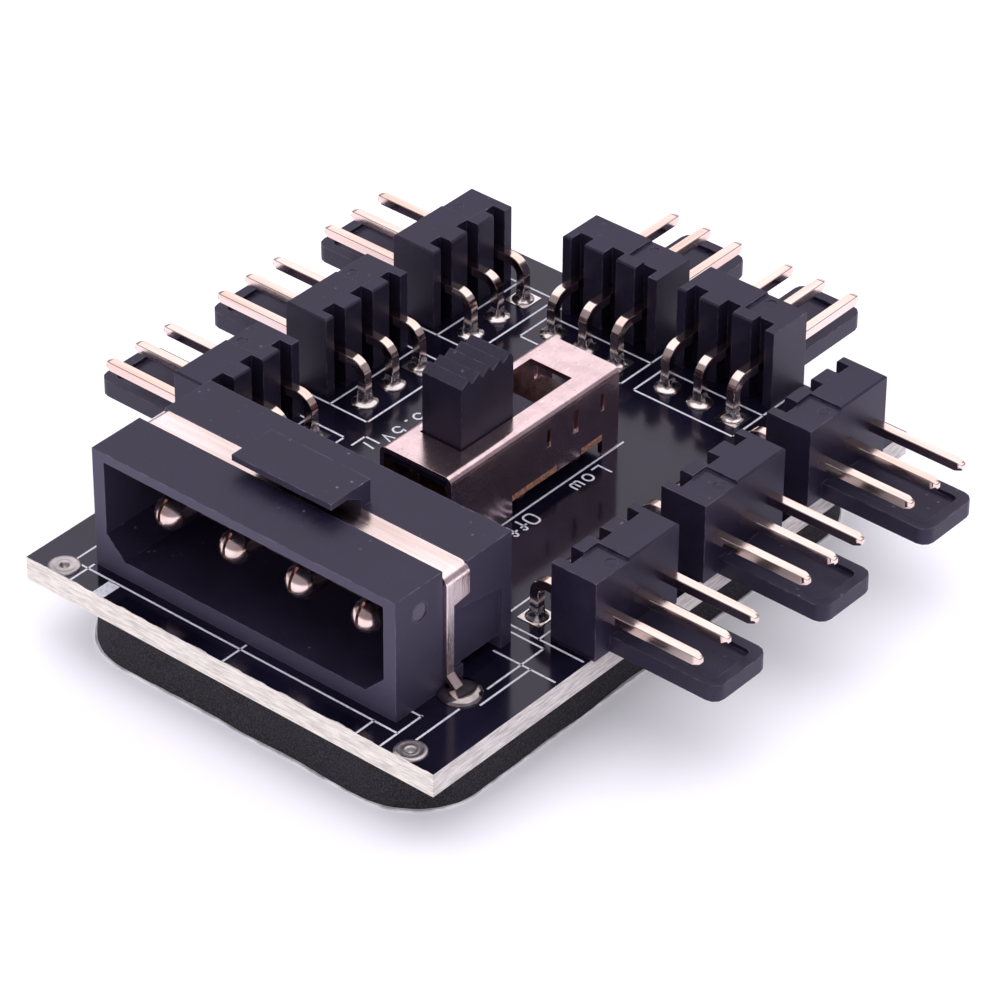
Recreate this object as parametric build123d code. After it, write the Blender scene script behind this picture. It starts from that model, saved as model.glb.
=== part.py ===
"""Fan hub: a drive-plug power inlet, eight three-pin fan headers and a slide switch on a stick-on board.

Millimetres. The origin is the middle of the pad's underside, +Z is up, the power inlet opens to -Y.
"""
from build123d import *
import math
import os

# Pad and board
liner_thickness = 0.12
foam_thickness = 3.85
film_thickness = 0.1
board_width = 31.5
board_depth = 44.0
board_thickness = 1.6
pad_side_margin = 1.55
pad_end_margin = 0.95
pad_corner_radius = 4.7
pad_lead_clearance = 0.15

# Small round forms are drawn with this many flat sides, and small bends in this many steps
round_sides = 8
mark_sides = 12
bend_steps = 3

# Leads and solder
lead_tail = 0.7
lead_hole_clearance = 0.05
solder_rim = 0.05
joint_radius = 0.95
joint_height = 0.9
joint_neck = 0.48
joint_waist_share = 0.3
joint_waist_rise = 0.4
first_joint_side = 1.7
under_joint_radius = 0.85
under_joint_height = 0.5
edge_pad_radius = 1.0
edge_pad_crown = 0.8
edge_pad_height = 0.14
edge_pad_bore = 0.3
edge_pad_bore_foot = 0.1
edge_pad_bore_depth = 0.4
edge_pad_shank = 0.5
edge_pad_inset = 0.8
edge_pad_spacing = 26.64

# Fan headers
header_length = 7.5
header_depth = 3.3
header_height = 5.7
header_edge_break = 0.12
header_row_spacing = 32.62
header_row_shift = -0.3
side_header_start = 17.55
side_header_pitch = 9.95
side_header_count = 3
rear_header_inset = 0.2
rear_header_pitch = 9.1
rear_header_count = 2
pin_count = 3
pin_pitch = 2.54
pin_width = 0.64
pin_height = 2.73
pin_reach = 6.73
pin_setback = 2.0
rear_pin_setback = 2.25
pin_bend_radius = 0.9
pin_point_length = 0.45
pin_point_taper = 0.17
rib_slot_width = 1.05
rib_slot_depth = 0.95
low_top_step = 0.2
low_top_length = 3.0
ejector_mark_radius = 0.37
ejector_mark_depth = 0.06
ejector_mark_inset = 0.74
ejector_mark_place = 2.24
tab_width = 4.8
tab_reach = 7.75
tab_thickness = 1.14
tab_root = 1.0
tab_corner = 0.75
tab_corner_steps = 3
tab_rim = 0.7
tab_recess = 0.3

# Power inlet
power_width = 23.2
power_start = 2.2
power_shift = -0.5
power_front_depth = 4.0
power_groove_width = 2.1
power_rear_depth = 3.9
power_height = 8.3
power_rear_drop = 0.45
power_side_wall = 0.9
cavity_floor = 1.2
cavity_roof = 0.65
cavity_depth = 6.4
cavity_corner = 1.4
cavity_step_place = 3.7
cavity_step = 0.45
power_pin_count = 4
power_pin_pitch = 5.08
power_pin_radius = 1.05
power_pin_wall = 0.3
power_pin_height = 4.3
power_pin_recess = 1.3
power_pin_seat = 0.8
power_pin_neck = 0.85
power_pin_sides = 16
power_pin_nose = 1.1
power_pin_nose_tip = 0.35
power_pin_nose_step = 0.4
power_pin_nose_waist = 0.8
power_pin_split = 0.75
power_pin_slit = 0.16
power_tail_width = 1.4
power_tail_thickness = 0.6
power_tail_bend = 0.8
power_joint_ring = 0.1
power_under_ring = 0.35
power_joint_height = 0.6
lead_chamber_depth = 1.9
lead_chamber_roof = 2.05
lead_chamber_margin = 0.5
undercut_height = 0.85
undercut_front = 5.8
undercut_rear = 9.1
side_panel_depth = 0.25
side_panel_front = 4.9
side_panel_rear = 9.2
side_panel_low = 4.3
side_panel_high = 5.0
hook_width = 7.6
hook_shift = -0.1
hook_rise = 1.13
hook_lip = 0.4
hook_reach = 3.37
hook_wall = 0.82
hook_web = 0.6
side_mark_radius = 0.65
side_mark_depth = 0.06
side_mark_height = 6.6
side_mark_place = 2.05

# Tin strap over the power inlet
strap_thickness = 0.25
strap_width = 2.0
strap_bend = 0.7
strap_shoulder = 5.8
strap_knee = 5.6
strap_leg_width = 0.65
strap_foot_reach = 0.95
strap_foot_rise = 1.0
strap_foot_drop = 0.75
strap_joint_radius = 1.28
strap_joint_height = 0.95
strap_joint_steps = 3
strap_joint_crown = 0.3
strap_under_radius = 0.6

# Slide switch
switch_start = 15.96
switch_shift = 0.6
switch_width = 5.53
switch_length = 15.44
switch_height = 5.75
cover_thickness = 0.35
cover_bend = 0.5
cover_skirt = 1.65
cover_foot = 0.2
cover_middle_foot = 1.2
front_foot_length = 5.54
middle_foot_length = 2.25
middle_foot_from_rear = 3.5
rear_foot_length = 1.52
cover_leg_width = 1.0
cover_leg_clearance = 0.1
slot_start = 2.54
slot_from_rear = 2.75
slot_width = 3.2
lever_shift = -0.25
lever_clearance = 0.12
lever_width = 3.05
lever_length = 4.68
lever_height = 10.39
lever_tooth_count = 5
lever_tooth_depth = 0.42
lever_tooth_crest = 0.7
carriage_overhang = 2.35
carriage_thickness = 0.6
carriage_gap = 0.06
base_bottom = 1.2
base_top = 2.9
base_end_inset = 0.3
side_slit_width = 0.35
side_slit_low = 3.4
side_slit_high = 4.6
front_slit_from_rear = 6.55
rear_slit_from_rear = 1.55
window_width = 0.5
window_low = 3.1
window_high = 4.7
window_from_rear = 4.05
window_tab_thickness = 0.2
terminal_count = 3
terminal_thickness = 0.4
terminal_blade = 1.0
terminal_tail = 0.6
terminal_shoulder = 0.9
terminal_top = 4.35
terminal_row_spacing = 2.8
bridge_thickness = 0.15
bridge_clearance = 0.05
bridge_overlap = 0.885
bridge_bottom = 3.1

# Levels and places that follow, from the origin
film_bottom = liner_thickness + foam_thickness
board_bottom = film_bottom + film_thickness
board_top = board_bottom + board_thickness
board_front = -board_depth / 2
power_front = board_front + power_start
power_rear_height = power_height - power_rear_drop
cavity_width = power_width - 2 * power_side_wall
cavity_ceiling = power_height - cavity_roof
lead_chamber_height = power_rear_height - lead_chamber_roof
hook_height = power_height + hook_rise
groove_front = power_front + power_front_depth
groove_rear = groove_front + power_groove_width
power_rear = groove_rear + power_rear_depth
cavity_rear = power_front + cavity_depth
chamber_front = cavity_rear + power_pin_seat
chamber_rear = chamber_front + lead_chamber_depth
power_lead_y = (chamber_front + chamber_rear) / 2
strap_rear = groove_rear
strap_front = strap_rear - strap_width
strap_foot_x = power_width / 2 + strap_foot_reach
strap_foot_y = strap_front + strap_leg_width / 2
switch_front = board_front + switch_start
switch_inner_width = switch_width - 2 * cover_thickness
middle_foot_end = switch_length - middle_foot_from_rear
middle_foot_start = middle_foot_end - middle_foot_length
rear_foot_start = switch_length - rear_foot_length
slot_length = switch_length - slot_start - slot_from_rear
window_place = switch_length - window_from_rear
slit_places = [switch_length - front_slit_from_rear, switch_length - rear_slit_from_rear]
lever_x = switch_shift + lever_shift
lever_front = switch_front + slot_start + lever_clearance
lever_middle = lever_front + lever_length / 2
lever_travel = slot_length - 2 * lever_clearance - lever_length
bridge_length = lever_travel + 2 * bridge_overlap
carriage_top = switch_height - cover_thickness - carriage_gap
carriage_bottom = carriage_top - carriage_thickness

# Levels and places from the top of the board, or in a header's own frame
pin_legs = {
    "right": -header_depth - pin_setback,
    "left": -header_depth - pin_setback,
    "rear": -header_depth - rear_pin_setback,
}
tail_low = -board_thickness - lead_tail
pocket_low = tail_low - pad_lead_clearance
cut_margin = 1.0

# Rows
pin_rows = [(index - (pin_count - 1) / 2) * pin_pitch for index in range(pin_count)]
power_rows = [(index - (power_pin_count - 1) / 2) * power_pin_pitch for index in range(power_pin_count)]
terminal_rows = [lever_middle + lever_travel * (index - 0.5) for index in range(terminal_count)]
terminal_sides = {"left": -terminal_row_spacing / 2, "right": terminal_row_spacing / 2}
pin_hole = math.hypot(pin_width, pin_width) / 2 + lead_hole_clearance
power_tail_hole = math.hypot(power_tail_width, power_tail_thickness) / 2 + lead_hole_clearance
strap_foot_hole = math.hypot(strap_leg_width, strap_thickness) / 2 + lead_hole_clearance
terminal_hole = math.hypot(terminal_tail, terminal_thickness) / 2 + lead_hole_clearance


def block(x_low, x_high, y_low, y_high, z_low, z_high):
    """A box between two corners."""
    middle = Pos((x_low + x_high) / 2, (y_low + y_high) / 2, (z_low + z_high) / 2)
    return middle * Box(x_high - x_low, y_high - y_low, z_high - z_low)


def taper(low_radius, high_radius, z_low, z_high, sides=round_sides):
    """A small upright cone, or a cylinder, with flat sides that clear its radius."""
    wide, narrow = max(low_radius, high_radius), min(low_radius, high_radius)
    height = z_high - z_low
    lean = math.degrees(math.atan2(wide - narrow, height))
    shape = extrude(RegularPolygon(wide, sides, major_radius=False), amount=height, taper=lean)
    if low_radius < high_radius:
        return Pos(0, 0, z_high) * Rot(180, 0, 0) * shape
    return Pos(0, 0, z_low) * shape


def upright(radius, z_low, z_high, x=0.0, y=0.0, sides=round_sides):
    """A small upright cylinder with flat sides, at a place."""
    return Pos(x, y, 0) * taper(radius, radius, z_low, z_high, sides)


def side_profile(points, thickness, centre=0.0):
    """A closed outline in the YZ plane, thickened along X about centre."""
    start = centre - thickness / 2
    face = make_face(Polyline(*[(start, y, z) for y, z in points], close=True))
    return extrude(face, amount=thickness, dir=(1, 0, 0))


def front_profile(points, y_low, y_high):
    """A closed outline in the XZ plane, run along Y."""
    face = make_face(Polyline(*[(x, y_low, z) for x, z in points], close=True))
    return extrude(face, amount=y_high - y_low, dir=(0, 1, 0))


def plan_profile(points, z_low, z_high):
    """A closed outline seen from above, raised between two heights."""
    face = make_face(Polyline(*[(x, y, z_low) for x, y in points], close=True))
    return extrude(face, amount=z_high - z_low, dir=(0, 0, 1))


def on_board(shape, x=0.0, y=0.0, turn=0.0):
    """Place a shape whose own Z starts at the top of the board."""
    return Pos(x, y, board_top) * Rot(0, 0, turn) * shape


def group(shapes):
    """Several separate solids as one piece."""
    solids = [solid for shape in shapes for solid in shape.solids()]
    return Compound(children=solids)


def bend_points(middle_x, middle_z, radius, backward=False):
    """Points of a quarter bend, from its top to its left side."""
    points = []
    for step in range(bend_steps + 1):
        turn = math.pi / 2 * step / bend_steps
        points.append((middle_x - radius * math.sin(turn), middle_z + radius * math.cos(turn)))
    return points[::-1] if backward else points


def bent_lead(reach, leg, height, bottom, width, thickness, bend):
    """A lead in the XZ plane: straight from reach to the bend over leg, then down to bottom."""
    half = thickness / 2
    bend_x, bend_z = leg + bend, height - bend
    outline = [(reach, height - half), (reach, height + half)]
    outline += bend_points(bend_x, bend_z, bend + half)
    outline += [(leg - half, bottom), (leg + half, bottom)]
    outline += bend_points(bend_x, bend_z, bend - half, backward=True)
    return front_profile(outline, -width / 2, width / 2)


def solder_joint(radius, height, neck, hole, under_radius):
    """Solder round a lead: a hollow-sided cone above, a plug in the hole and a smaller cone below."""
    waist = neck + (radius - neck) * joint_waist_share
    waist_height = height * joint_waist_rise
    under = -board_thickness
    joint = taper(radius, waist, 0, waist_height) + taper(waist, neck, waist_height, height)
    joint += taper(hole, hole, under, 0)
    return joint + taper(neck, under_radius, under - under_joint_height, under)


def header_places():
    """The middle of each fan header's outer face, and the turn that points its pins outward."""
    places = {}
    for index in range(side_header_count):
        y = board_front + side_header_start + index * side_header_pitch
        places[f"right_header_{index + 1}"] = (header_row_shift + header_row_spacing / 2, y, 0)
        places[f"left_header_{index + 1}"] = (header_row_shift - header_row_spacing / 2, y, 180)
    for index in range(rear_header_count):
        x = header_row_shift + (index - (rear_header_count - 1) / 2) * rear_header_pitch
        places[f"rear_header_{index + 1}"] = (x, board_depth / 2 - rear_header_inset, 90)
    return places


def pin_leg(header):
    """Where a header's pins go down, in the header's own frame."""
    return pin_legs[header.split("_")[0]]


def locking_tab():
    """The flat tongue under a header's pins, with a shallow well inside a raised rim."""
    half, inner_half = tab_width / 2, tab_width / 2 - tab_rim
    reach, inner_reach = tab_reach, tab_reach - tab_rim
    corner, inner_corner = tab_corner, tab_corner - tab_rim / 2

    def tongue(start, end, side, radius):
        bend = [math.pi / 2 * step / tab_corner_steps for step in range(tab_corner_steps + 1)]
        rounded = [
            (end - radius + radius * math.cos(turn), side - radius + radius * math.sin(turn))
            for turn in bend
        ]
        mirrored = [(x, -y) for x, y in reversed(rounded)]
        return [(start, -side)] + mirrored + rounded + [(start, side)]

    tab = plan_profile(tongue(-tab_root, reach, half, corner), 0, tab_thickness)
    well = tongue(0, inner_reach, inner_half, inner_corner)
    return tab - plan_profile(well, tab_thickness - tab_recess, tab_thickness + cut_margin)


def header_housing():
    """One moulded header: ribbed inner face, stepped top, square pin holes and the locking tab."""
    front = -header_length / 2
    inner, above = -header_depth, header_height + cut_margin
    body = block(inner, 0, front, -front, 0, header_height)
    body = chamfer(body.edges().group_by(Axis.Z)[-1], header_edge_break)
    low_top = header_height - low_top_step
    rib_face = inner + rib_slot_depth
    low_end = front + low_top_length
    body -= block(rib_face, cut_margin, front - cut_margin, low_end, low_top, above)
    first_rib = pin_rows[0] - rib_slot_width / 2
    body -= block(inner - cut_margin, rib_face, front - cut_margin, first_rib, low_top, above)
    for row in pin_rows:
        low, high = row - rib_slot_width / 2, row + rib_slot_width / 2
        body -= block(inner - cut_margin, rib_face, low, high, -cut_margin, above)
        body -= Pos(inner / 2, row, pin_height) * Box(2 * header_depth, pin_width, pin_width)
    mark_y = front + ejector_mark_place
    mark_low = low_top - ejector_mark_depth
    body -= upright(ejector_mark_radius, mark_low, above, -ejector_mark_inset, mark_y, mark_sides)
    return body + locking_tab()


def header_pin(row, leg):
    """A square pin with a tapered point, bent down through the board behind its header."""
    shoulder = pin_reach - pin_point_length
    lead = bent_lead(shoulder, leg, pin_height, tail_low, pin_width, pin_width, pin_bend_radius)
    half = pin_width / 2
    tip = taper(half, half - pin_point_taper, 0, pin_point_length, sides=4)
    tip = Pos(shoulder, 0, pin_height) * Rot(0, 90, 0) * Rot(0, 0, 45) * tip
    return Pos(0, row, 0) * (lead + tip)


def header_joint(row, leg):
    """Solder at one header pin. The first pin's pad is square."""
    joint = solder_joint(joint_radius, joint_height, joint_neck, pin_hole, under_joint_radius)
    if row == pin_rows[0]:
        side = first_joint_side / 2
        joint += block(-side, side, -side, side, 0, solder_rim)
    half = pin_width / 2
    joint -= block(-half, half, -half, half, tail_low - cut_margin, joint_height + cut_margin)
    return Pos(leg, row, 0) * joint


def circuit_board():
    """The board, drilled for every lead."""
    half = board_width / 2
    board = block(-half, half, board_front, -board_front, board_bottom, board_top)
    low, high = board_bottom - cut_margin, board_top + cut_margin
    for name, (x, y, turn) in header_places().items():
        for row in pin_rows:
            hole = upright(pin_hole, -2 * board_thickness, cut_margin, pin_leg(name), row)
            board -= on_board(hole, x, y, turn)
    for row in power_rows:
        board -= upright(power_tail_hole, low, high, power_shift + row, power_lead_y)
    for side in (-1, 1):
        board -= upright(strap_foot_hole, low, high, power_shift + side * strap_foot_x, strap_foot_y)
        board -= upright(edge_pad_shank, low, high, side * edge_pad_spacing / 2, board_front + edge_pad_inset)
        terminal_x = switch_shift + side * terminal_row_spacing / 2
        for y in terminal_rows:
            board -= upright(terminal_hole, low, high, terminal_x, y)
        for leg_front, leg_rear in cover_leg_spans():
            board -= leg_slot(side, leg_front, leg_rear, low, high)
    return board


def cover_leg_spans():
    """Front and rear Y of the switch cover's two pairs of legs."""
    front = switch_front + (front_foot_length - cover_leg_width) / 2
    rear = switch_front + (rear_foot_start + switch_length - cover_leg_width) / 2
    return [(front, front + cover_leg_width), (rear, rear + cover_leg_width)]


def leg_slot(side, leg_front, leg_rear, low, high):
    """The hole in the board for one leg of the switch cover."""
    outer = switch_shift + side * (switch_width / 2 + cover_leg_clearance)
    inner = switch_shift + side * (switch_width / 2 - cover_thickness - cover_leg_clearance)
    x_low, x_high = min(outer, inner), max(outer, inner)
    return block(x_low, x_high, leg_front - cover_leg_clearance, leg_rear + cover_leg_clearance, low, high)


def pad_layer(z_low, z_high):
    """One layer of the pad: the board's outline set in, with large round corners."""
    width = board_width - 2 * pad_side_margin
    depth = board_depth - 2 * pad_end_margin
    outline = RectangleRounded(width, depth, pad_corner_radius)
    return Pos(0, 0, z_low) * extrude(outline, amount=z_high - z_low, dir=(0, 0, 1))


def lead_pockets():
    """The room under the board that the lead tails and their solder press into the pad."""
    low, high = pocket_low, -board_thickness + cut_margin / 2
    reach = under_joint_radius + pad_lead_clearance
    row_reach = pin_rows[-1] + reach
    pockets = []
    for name, (x, y, turn) in header_places().items():
        leg = pin_leg(name)
        pocket = block(leg - reach, leg + reach, -row_reach, row_reach, low, high)
        pockets.append(on_board(pocket, x, y, turn))
    power_reach = power_tail_hole + power_under_ring + pad_lead_clearance
    row_reach = power_rows[-1] + power_reach
    pocket = block(-row_reach, row_reach, -power_reach, power_reach, low, high)
    pockets.append(on_board(pocket, power_shift, power_lead_y))
    strap_reach = strap_under_radius + pad_lead_clearance
    for side in (-1, 1):
        pocket = block(-strap_reach, strap_reach, -strap_reach, strap_reach, low, high)
        pockets.append(on_board(pocket, power_shift + side * strap_foot_x, strap_foot_y))
    half = switch_width / 2 + pad_lead_clearance
    pocket = block(-half, half, -pad_lead_clearance, switch_length + pad_lead_clearance, low, high)
    pockets.append(on_board(pocket, switch_shift, switch_front))
    return pockets


def pad_pieces():
    """Release liner, foam and the adhesive film under the board."""
    foam = pad_layer(liner_thickness, film_bottom)
    film = pad_layer(film_bottom, board_bottom)
    for pocket in lead_pockets():
        foam -= pocket
        film -= pocket
    return {"release_liner": pad_layer(0, liner_thickness), "foam_pad": foam, "adhesive_film": film}


def cavity_outline(ceiling):
    """The inlet's mouth, with its two keyed lower corners."""
    half = cavity_width / 2
    return [
        (-half, cavity_floor + cavity_corner),
        (-half, ceiling),
        (half, ceiling),
        (half, cavity_floor + cavity_corner),
        (half - cavity_corner, cavity_floor),
        (-half + cavity_corner, cavity_floor),
    ]


def power_body():
    """The housing's outer block: tall front, strap groove, lower rear and the gap under the rear."""
    groove_floor = power_rear_height - strap_thickness
    outline = [
        (power_front, 0),
        (power_front, power_height),
        (groove_front, power_height),
        (groove_front, groove_floor),
        (groove_rear, groove_floor),
        (groove_rear, power_rear_height),
        (power_rear, power_rear_height),
        (power_rear, 0),
        (power_front + undercut_rear, 0),
        (power_front + undercut_rear, undercut_height),
        (power_front + undercut_front, undercut_height),
        (power_front + undercut_front, 0),
    ]
    body = side_profile(outline, power_width)
    groove_middle = (groove_front + groove_rear) / 2
    corners = [
        edge
        for edge in body.edges().filter_by(Axis.Y)
        if abs(edge.center().Y - groove_middle) < solder_rim and edge.center().Z > power_height / 2
    ]
    return fillet(corners, strap_bend - strap_thickness)


def latch_hook():
    """The plate over the strap that a plug's latch catches, on its rear wall."""
    rear = groove_rear + hook_wall
    lip = rear - hook_reach
    underside = hook_height - hook_lip
    outline = [
        (rear, power_rear_height),
        (rear, hook_height),
        (lip, hook_height),
        (lip, underside),
        (groove_rear - 2 * hook_web, underside),
        (groove_rear, underside - hook_web),
        (groove_rear, power_rear_height),
    ]
    return side_profile(outline, hook_width, hook_shift)


def side_panel(side):
    """The shallow sunk panel on one end of the rear body."""
    outline = [
        (power_front + side_panel_front, undercut_height),
        (power_front + side_panel_front, side_panel_high),
        (power_front + side_panel_rear, side_panel_low),
        (power_front + side_panel_rear, undercut_height),
    ]
    return side_profile(outline, 2 * side_panel_depth, side * power_width / 2)


def power_housing():
    """The four-way inlet housing, in its own frame on the board."""
    body = power_body() + latch_hook()
    step_y = power_front + cavity_step_place
    body -= front_profile(cavity_outline(cavity_ceiling), power_front - cut_margin, step_y)
    body -= front_profile(cavity_outline(cavity_ceiling - cavity_step), step_y, cavity_rear)
    chamber = power_rows[-1] + power_tail_width / 2 + lead_chamber_margin
    body -= block(-chamber, chamber, chamber_front, chamber_rear, -cut_margin, lead_chamber_height)
    for row in power_rows:
        body -= Pos(row, 0, power_pin_height) * along_pin(power_pin_neck, cavity_rear, chamber_front)
    for side in (-1, 1):
        body -= side_panel(side)
        mark = upright(side_mark_radius, -side_mark_depth, side_mark_depth, sides=mark_sides)
        place = Pos(side * power_width / 2, power_front + side_mark_place, side_mark_height)
        body -= place * Rot(0, 90, 0) * mark
    return body


def along_pin(radius, y_low, y_high, sides=round_sides, end_radius=None):
    """A small flat-sided cylinder or cone along a power pin."""
    end = radius if end_radius is None else end_radius
    return Rot(-90, 0, 0) * taper(radius, end, y_low, y_high, sides)


def rolled_tube():
    """The sleeve of a power pin: a solid, split bullet nose and a seam along its top."""
    tip = power_front + power_pin_recess
    nose_step = tip + power_pin_nose_step
    nose_end = tip + power_pin_nose
    tube = Cylinder(power_pin_radius, cavity_rear - nose_end)
    tube = Pos(0, (nose_end + cavity_rear) / 2, 0) * Rot(90, 0, 0) * tube
    nose_root = power_pin_radius * math.cos(math.pi / power_pin_sides)
    tube += along_pin(power_pin_nose_waist, nose_step, nose_end, power_pin_sides, nose_root)
    tube += along_pin(power_pin_nose_tip, tip, nose_step, power_pin_sides, power_pin_nose_waist)
    tube -= along_pin(power_pin_radius - power_pin_wall, nose_end, cavity_rear)
    half, above = power_pin_slit / 2, 2 * power_pin_radius
    tube -= block(-half, half, tip - cut_margin, tip + power_pin_split, -above, above)
    return tube - block(-half, half, tip - cut_margin, cavity_rear, 0, above)


def power_pin(row):
    """A rolled, split pin on a flat tail bent down through the board."""
    tube = rolled_tube() + along_pin(power_pin_neck, cavity_rear, chamber_front)
    run = bent_lead(
        power_lead_y - chamber_front,
        0,
        power_pin_height,
        tail_low,
        power_tail_width,
        power_tail_thickness,
        power_tail_bend,
    )
    tail = Pos(0, power_lead_y, 0) * Rot(0, 0, -90) * run
    return Pos(row, 0, 0) * (Pos(0, 0, power_pin_height) * tube + tail)


def power_joint(row):
    """Solder at one power pin, inside the gap under the housing."""
    x_half, y_half = power_tail_width / 2, power_tail_thickness / 2
    radius, under_radius = power_tail_hole + power_joint_ring, power_tail_hole + power_under_ring
    joint = solder_joint(radius, power_joint_height, x_half, power_tail_hole, under_radius)
    joint -= block(-x_half, x_half, -y_half, y_half, tail_low - cut_margin, power_height)
    return Pos(row, power_lead_y, 0) * joint


def power_strap():
    """The tin strap over the housing: wide at the shoulders, narrow legs, feet through the board."""
    half = power_width / 2
    outer_half = half + strap_thickness
    top = power_rear_height
    foot_top = strap_foot_rise
    outer = block(-outer_half, outer_half, strap_front, strap_rear, foot_top, top)
    outer = fillet(outer.edges().filter_by(Axis.Y).group_by(Axis.Z)[-1], strap_bend)
    inner = block(-half, half, strap_front, strap_rear, 0, top - strap_thickness)
    inner = fillet(inner.edges().filter_by(Axis.Y).group_by(Axis.Z)[-1], strap_bend - strap_thickness)
    leg_rear = strap_front + strap_leg_width
    outline = [
        (strap_front, foot_top),
        (strap_front, top),
        (strap_rear, top),
        (strap_rear, strap_shoulder),
        (leg_rear, strap_knee),
        (leg_rear, foot_top),
    ]
    strap = (outer - inner) & side_profile(outline, 2 * outer_half)
    for side in (-1, 1):
        strap += strap_foot(side, leg_rear)
    return strap


def strap_foot(side, leg_rear):
    """One foot: it slants out from the housing's side, then goes down through the board."""
    half = power_width / 2
    inner, outer = strap_foot_x - strap_thickness / 2, strap_foot_x + strap_thickness / 2
    bend = strap_foot_rise - strap_foot_drop
    outline = [
        (half, strap_foot_rise),
        (half + strap_thickness, strap_foot_rise),
        (outer, bend),
        (outer, tail_low),
        (inner, tail_low),
        (inner, bend - strap_thickness / 2),
        (half, strap_foot_rise - strap_thickness),
    ]
    return front_profile([(side * x, z) for x, z in outline], strap_front, leg_rear)


def strap_joint(side, strap):
    """The solder dome over one strap foot, cut back where the housing stands."""
    leans = [math.pi / 2 * step / strap_joint_steps for step in range(strap_joint_steps)]
    rings = [(strap_joint_radius * math.cos(lean), strap_joint_height * math.sin(lean)) for lean in leans]
    rings.append((strap_joint_crown, strap_joint_height))
    under = -board_thickness
    dome = taper(strap_foot_hole, strap_foot_hole, under, 0)
    dome += taper(strap_foot_hole, strap_under_radius, under - under_joint_height, under)
    for (radius, level), (next_radius, next_level) in zip(rings, rings[1:]):
        dome += taper(radius, next_radius, level, next_level)
    dome = Pos(side * strap_foot_x, strap_foot_y, 0) * dome
    half = power_width / 2
    return dome - block(-half, half, power_front, power_rear, 0, power_height) - strap


def edge_pad(side):
    """A solder-filled pad at a front corner, trimmed flush with the board's front edge."""
    pad = taper(edge_pad_radius, edge_pad_crown, 0, edge_pad_height)
    pad += upright(edge_pad_shank, -board_thickness, 0)
    dimple_low = edge_pad_height - edge_pad_bore_depth
    pad -= taper(edge_pad_bore_foot, edge_pad_bore, dimple_low, edge_pad_height)
    pad = Pos(side * edge_pad_spacing / 2, board_front + edge_pad_inset, 0) * pad
    trim_front = board_front - 2 * edge_pad_radius
    return pad - block(-board_width, board_width, trim_front, board_front, -board_thickness, cut_margin)


def rounded_channel(width, top, z_low, bend):
    """A block along the switch with its two long top edges rounded."""
    shape = block(-width / 2, width / 2, 0, switch_length, z_low, top)
    return fillet(shape.edges().filter_by(Axis.Y).group_by(Axis.Z)[-1], bend)


def cover_outline():
    """The cover's side view: feet, skirt and the legs that go through the board."""
    (front_low, front_high), (rear_low, rear_high) = cover_leg_spans()
    return [
        (0, switch_height),
        (0, cover_foot),
        (front_low - switch_front, cover_foot),
        (front_low - switch_front, tail_low),
        (front_high - switch_front, tail_low),
        (front_high - switch_front, cover_foot),
        (front_foot_length, cover_foot),
        (front_foot_length, cover_skirt),
        (middle_foot_start, cover_skirt),
        (middle_foot_start, cover_middle_foot),
        (middle_foot_end, cover_middle_foot),
        (middle_foot_end, cover_skirt),
        (rear_foot_start, cover_skirt),
        (rear_foot_start, cover_foot),
        (rear_low - switch_front, cover_foot),
        (rear_low - switch_front, tail_low),
        (rear_high - switch_front, tail_low),
        (rear_high - switch_front, cover_foot),
        (switch_length, cover_foot),
        (switch_length, switch_height),
    ]


def switch_cover():
    """The folded nickel cover: lever slot on top, slits and pressed tabs in its sides."""
    outer = rounded_channel(switch_width, switch_height, tail_low, cover_bend)
    inner_top = switch_height - cover_thickness
    inner_bend = cover_bend - cover_thickness
    inner = rounded_channel(switch_inner_width, inner_top, tail_low - cut_margin, inner_bend)
    cover = (outer - inner) & side_profile(cover_outline(), switch_width)
    slot_left, slot_right = lever_shift - slot_width / 2, lever_shift + slot_width / 2
    slot_end = slot_start + slot_length
    cover -= block(slot_left, slot_right, slot_start, slot_end, carriage_top, switch_height + cut_margin)
    half = switch_width / 2 + cut_margin
    for place in slit_places:
        low, high = place - side_slit_width / 2, place + side_slit_width / 2
        cover -= block(-half, half, low, high, side_slit_low, side_slit_high)
    low, high = window_place - window_width / 2, window_place + window_width / 2
    cover -= block(-half, half, low, high, window_low, window_high)
    for side in (-1, 1):
        inner_side = switch_inner_width / 2
        edges = sorted((side * inner_side, side * (inner_side + window_tab_thickness)))
        cover += block(edges[0], edges[1], low, (low + high) / 2, window_low, window_high)
    return cover


def switch_base():
    """The resin base: it fills the cover between its walls, with ears under the skirt's notches."""
    half_inner, half_outer = switch_inner_width / 2, switch_width / 2
    base_end = switch_length - base_end_inset
    base = block(-half_inner, half_inner, base_end_inset, base_end, base_bottom, base_top)
    base += block(-half_outer, half_outer, front_foot_length, middle_foot_start, base_bottom, cover_skirt)
    base += block(-half_outer, half_outer, middle_foot_end, rear_foot_start, base_bottom, cover_skirt)
    for x in terminal_sides.values():
        for y in terminal_rows:
            base -= terminal_blade_block(x, y - switch_front, 0, base_top + cut_margin)
    return base


def terminal_blade_block(x, y, z_low, z_high):
    """The wide upper part of a terminal."""
    x_half, y_half = terminal_thickness / 2, terminal_blade / 2
    return block(x - x_half, x + x_half, y - y_half, y + y_half, z_low, z_high)


def switch_terminal(x, y):
    """A flat blade that stands up inside the switch, with a narrow tail through the board."""
    blade = terminal_blade_block(x, y, terminal_shoulder, terminal_top)
    x_half, y_half = terminal_thickness / 2, terminal_tail / 2
    return blade + block(x - x_half, x + x_half, y - y_half, y + y_half, tail_low, terminal_shoulder)


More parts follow.
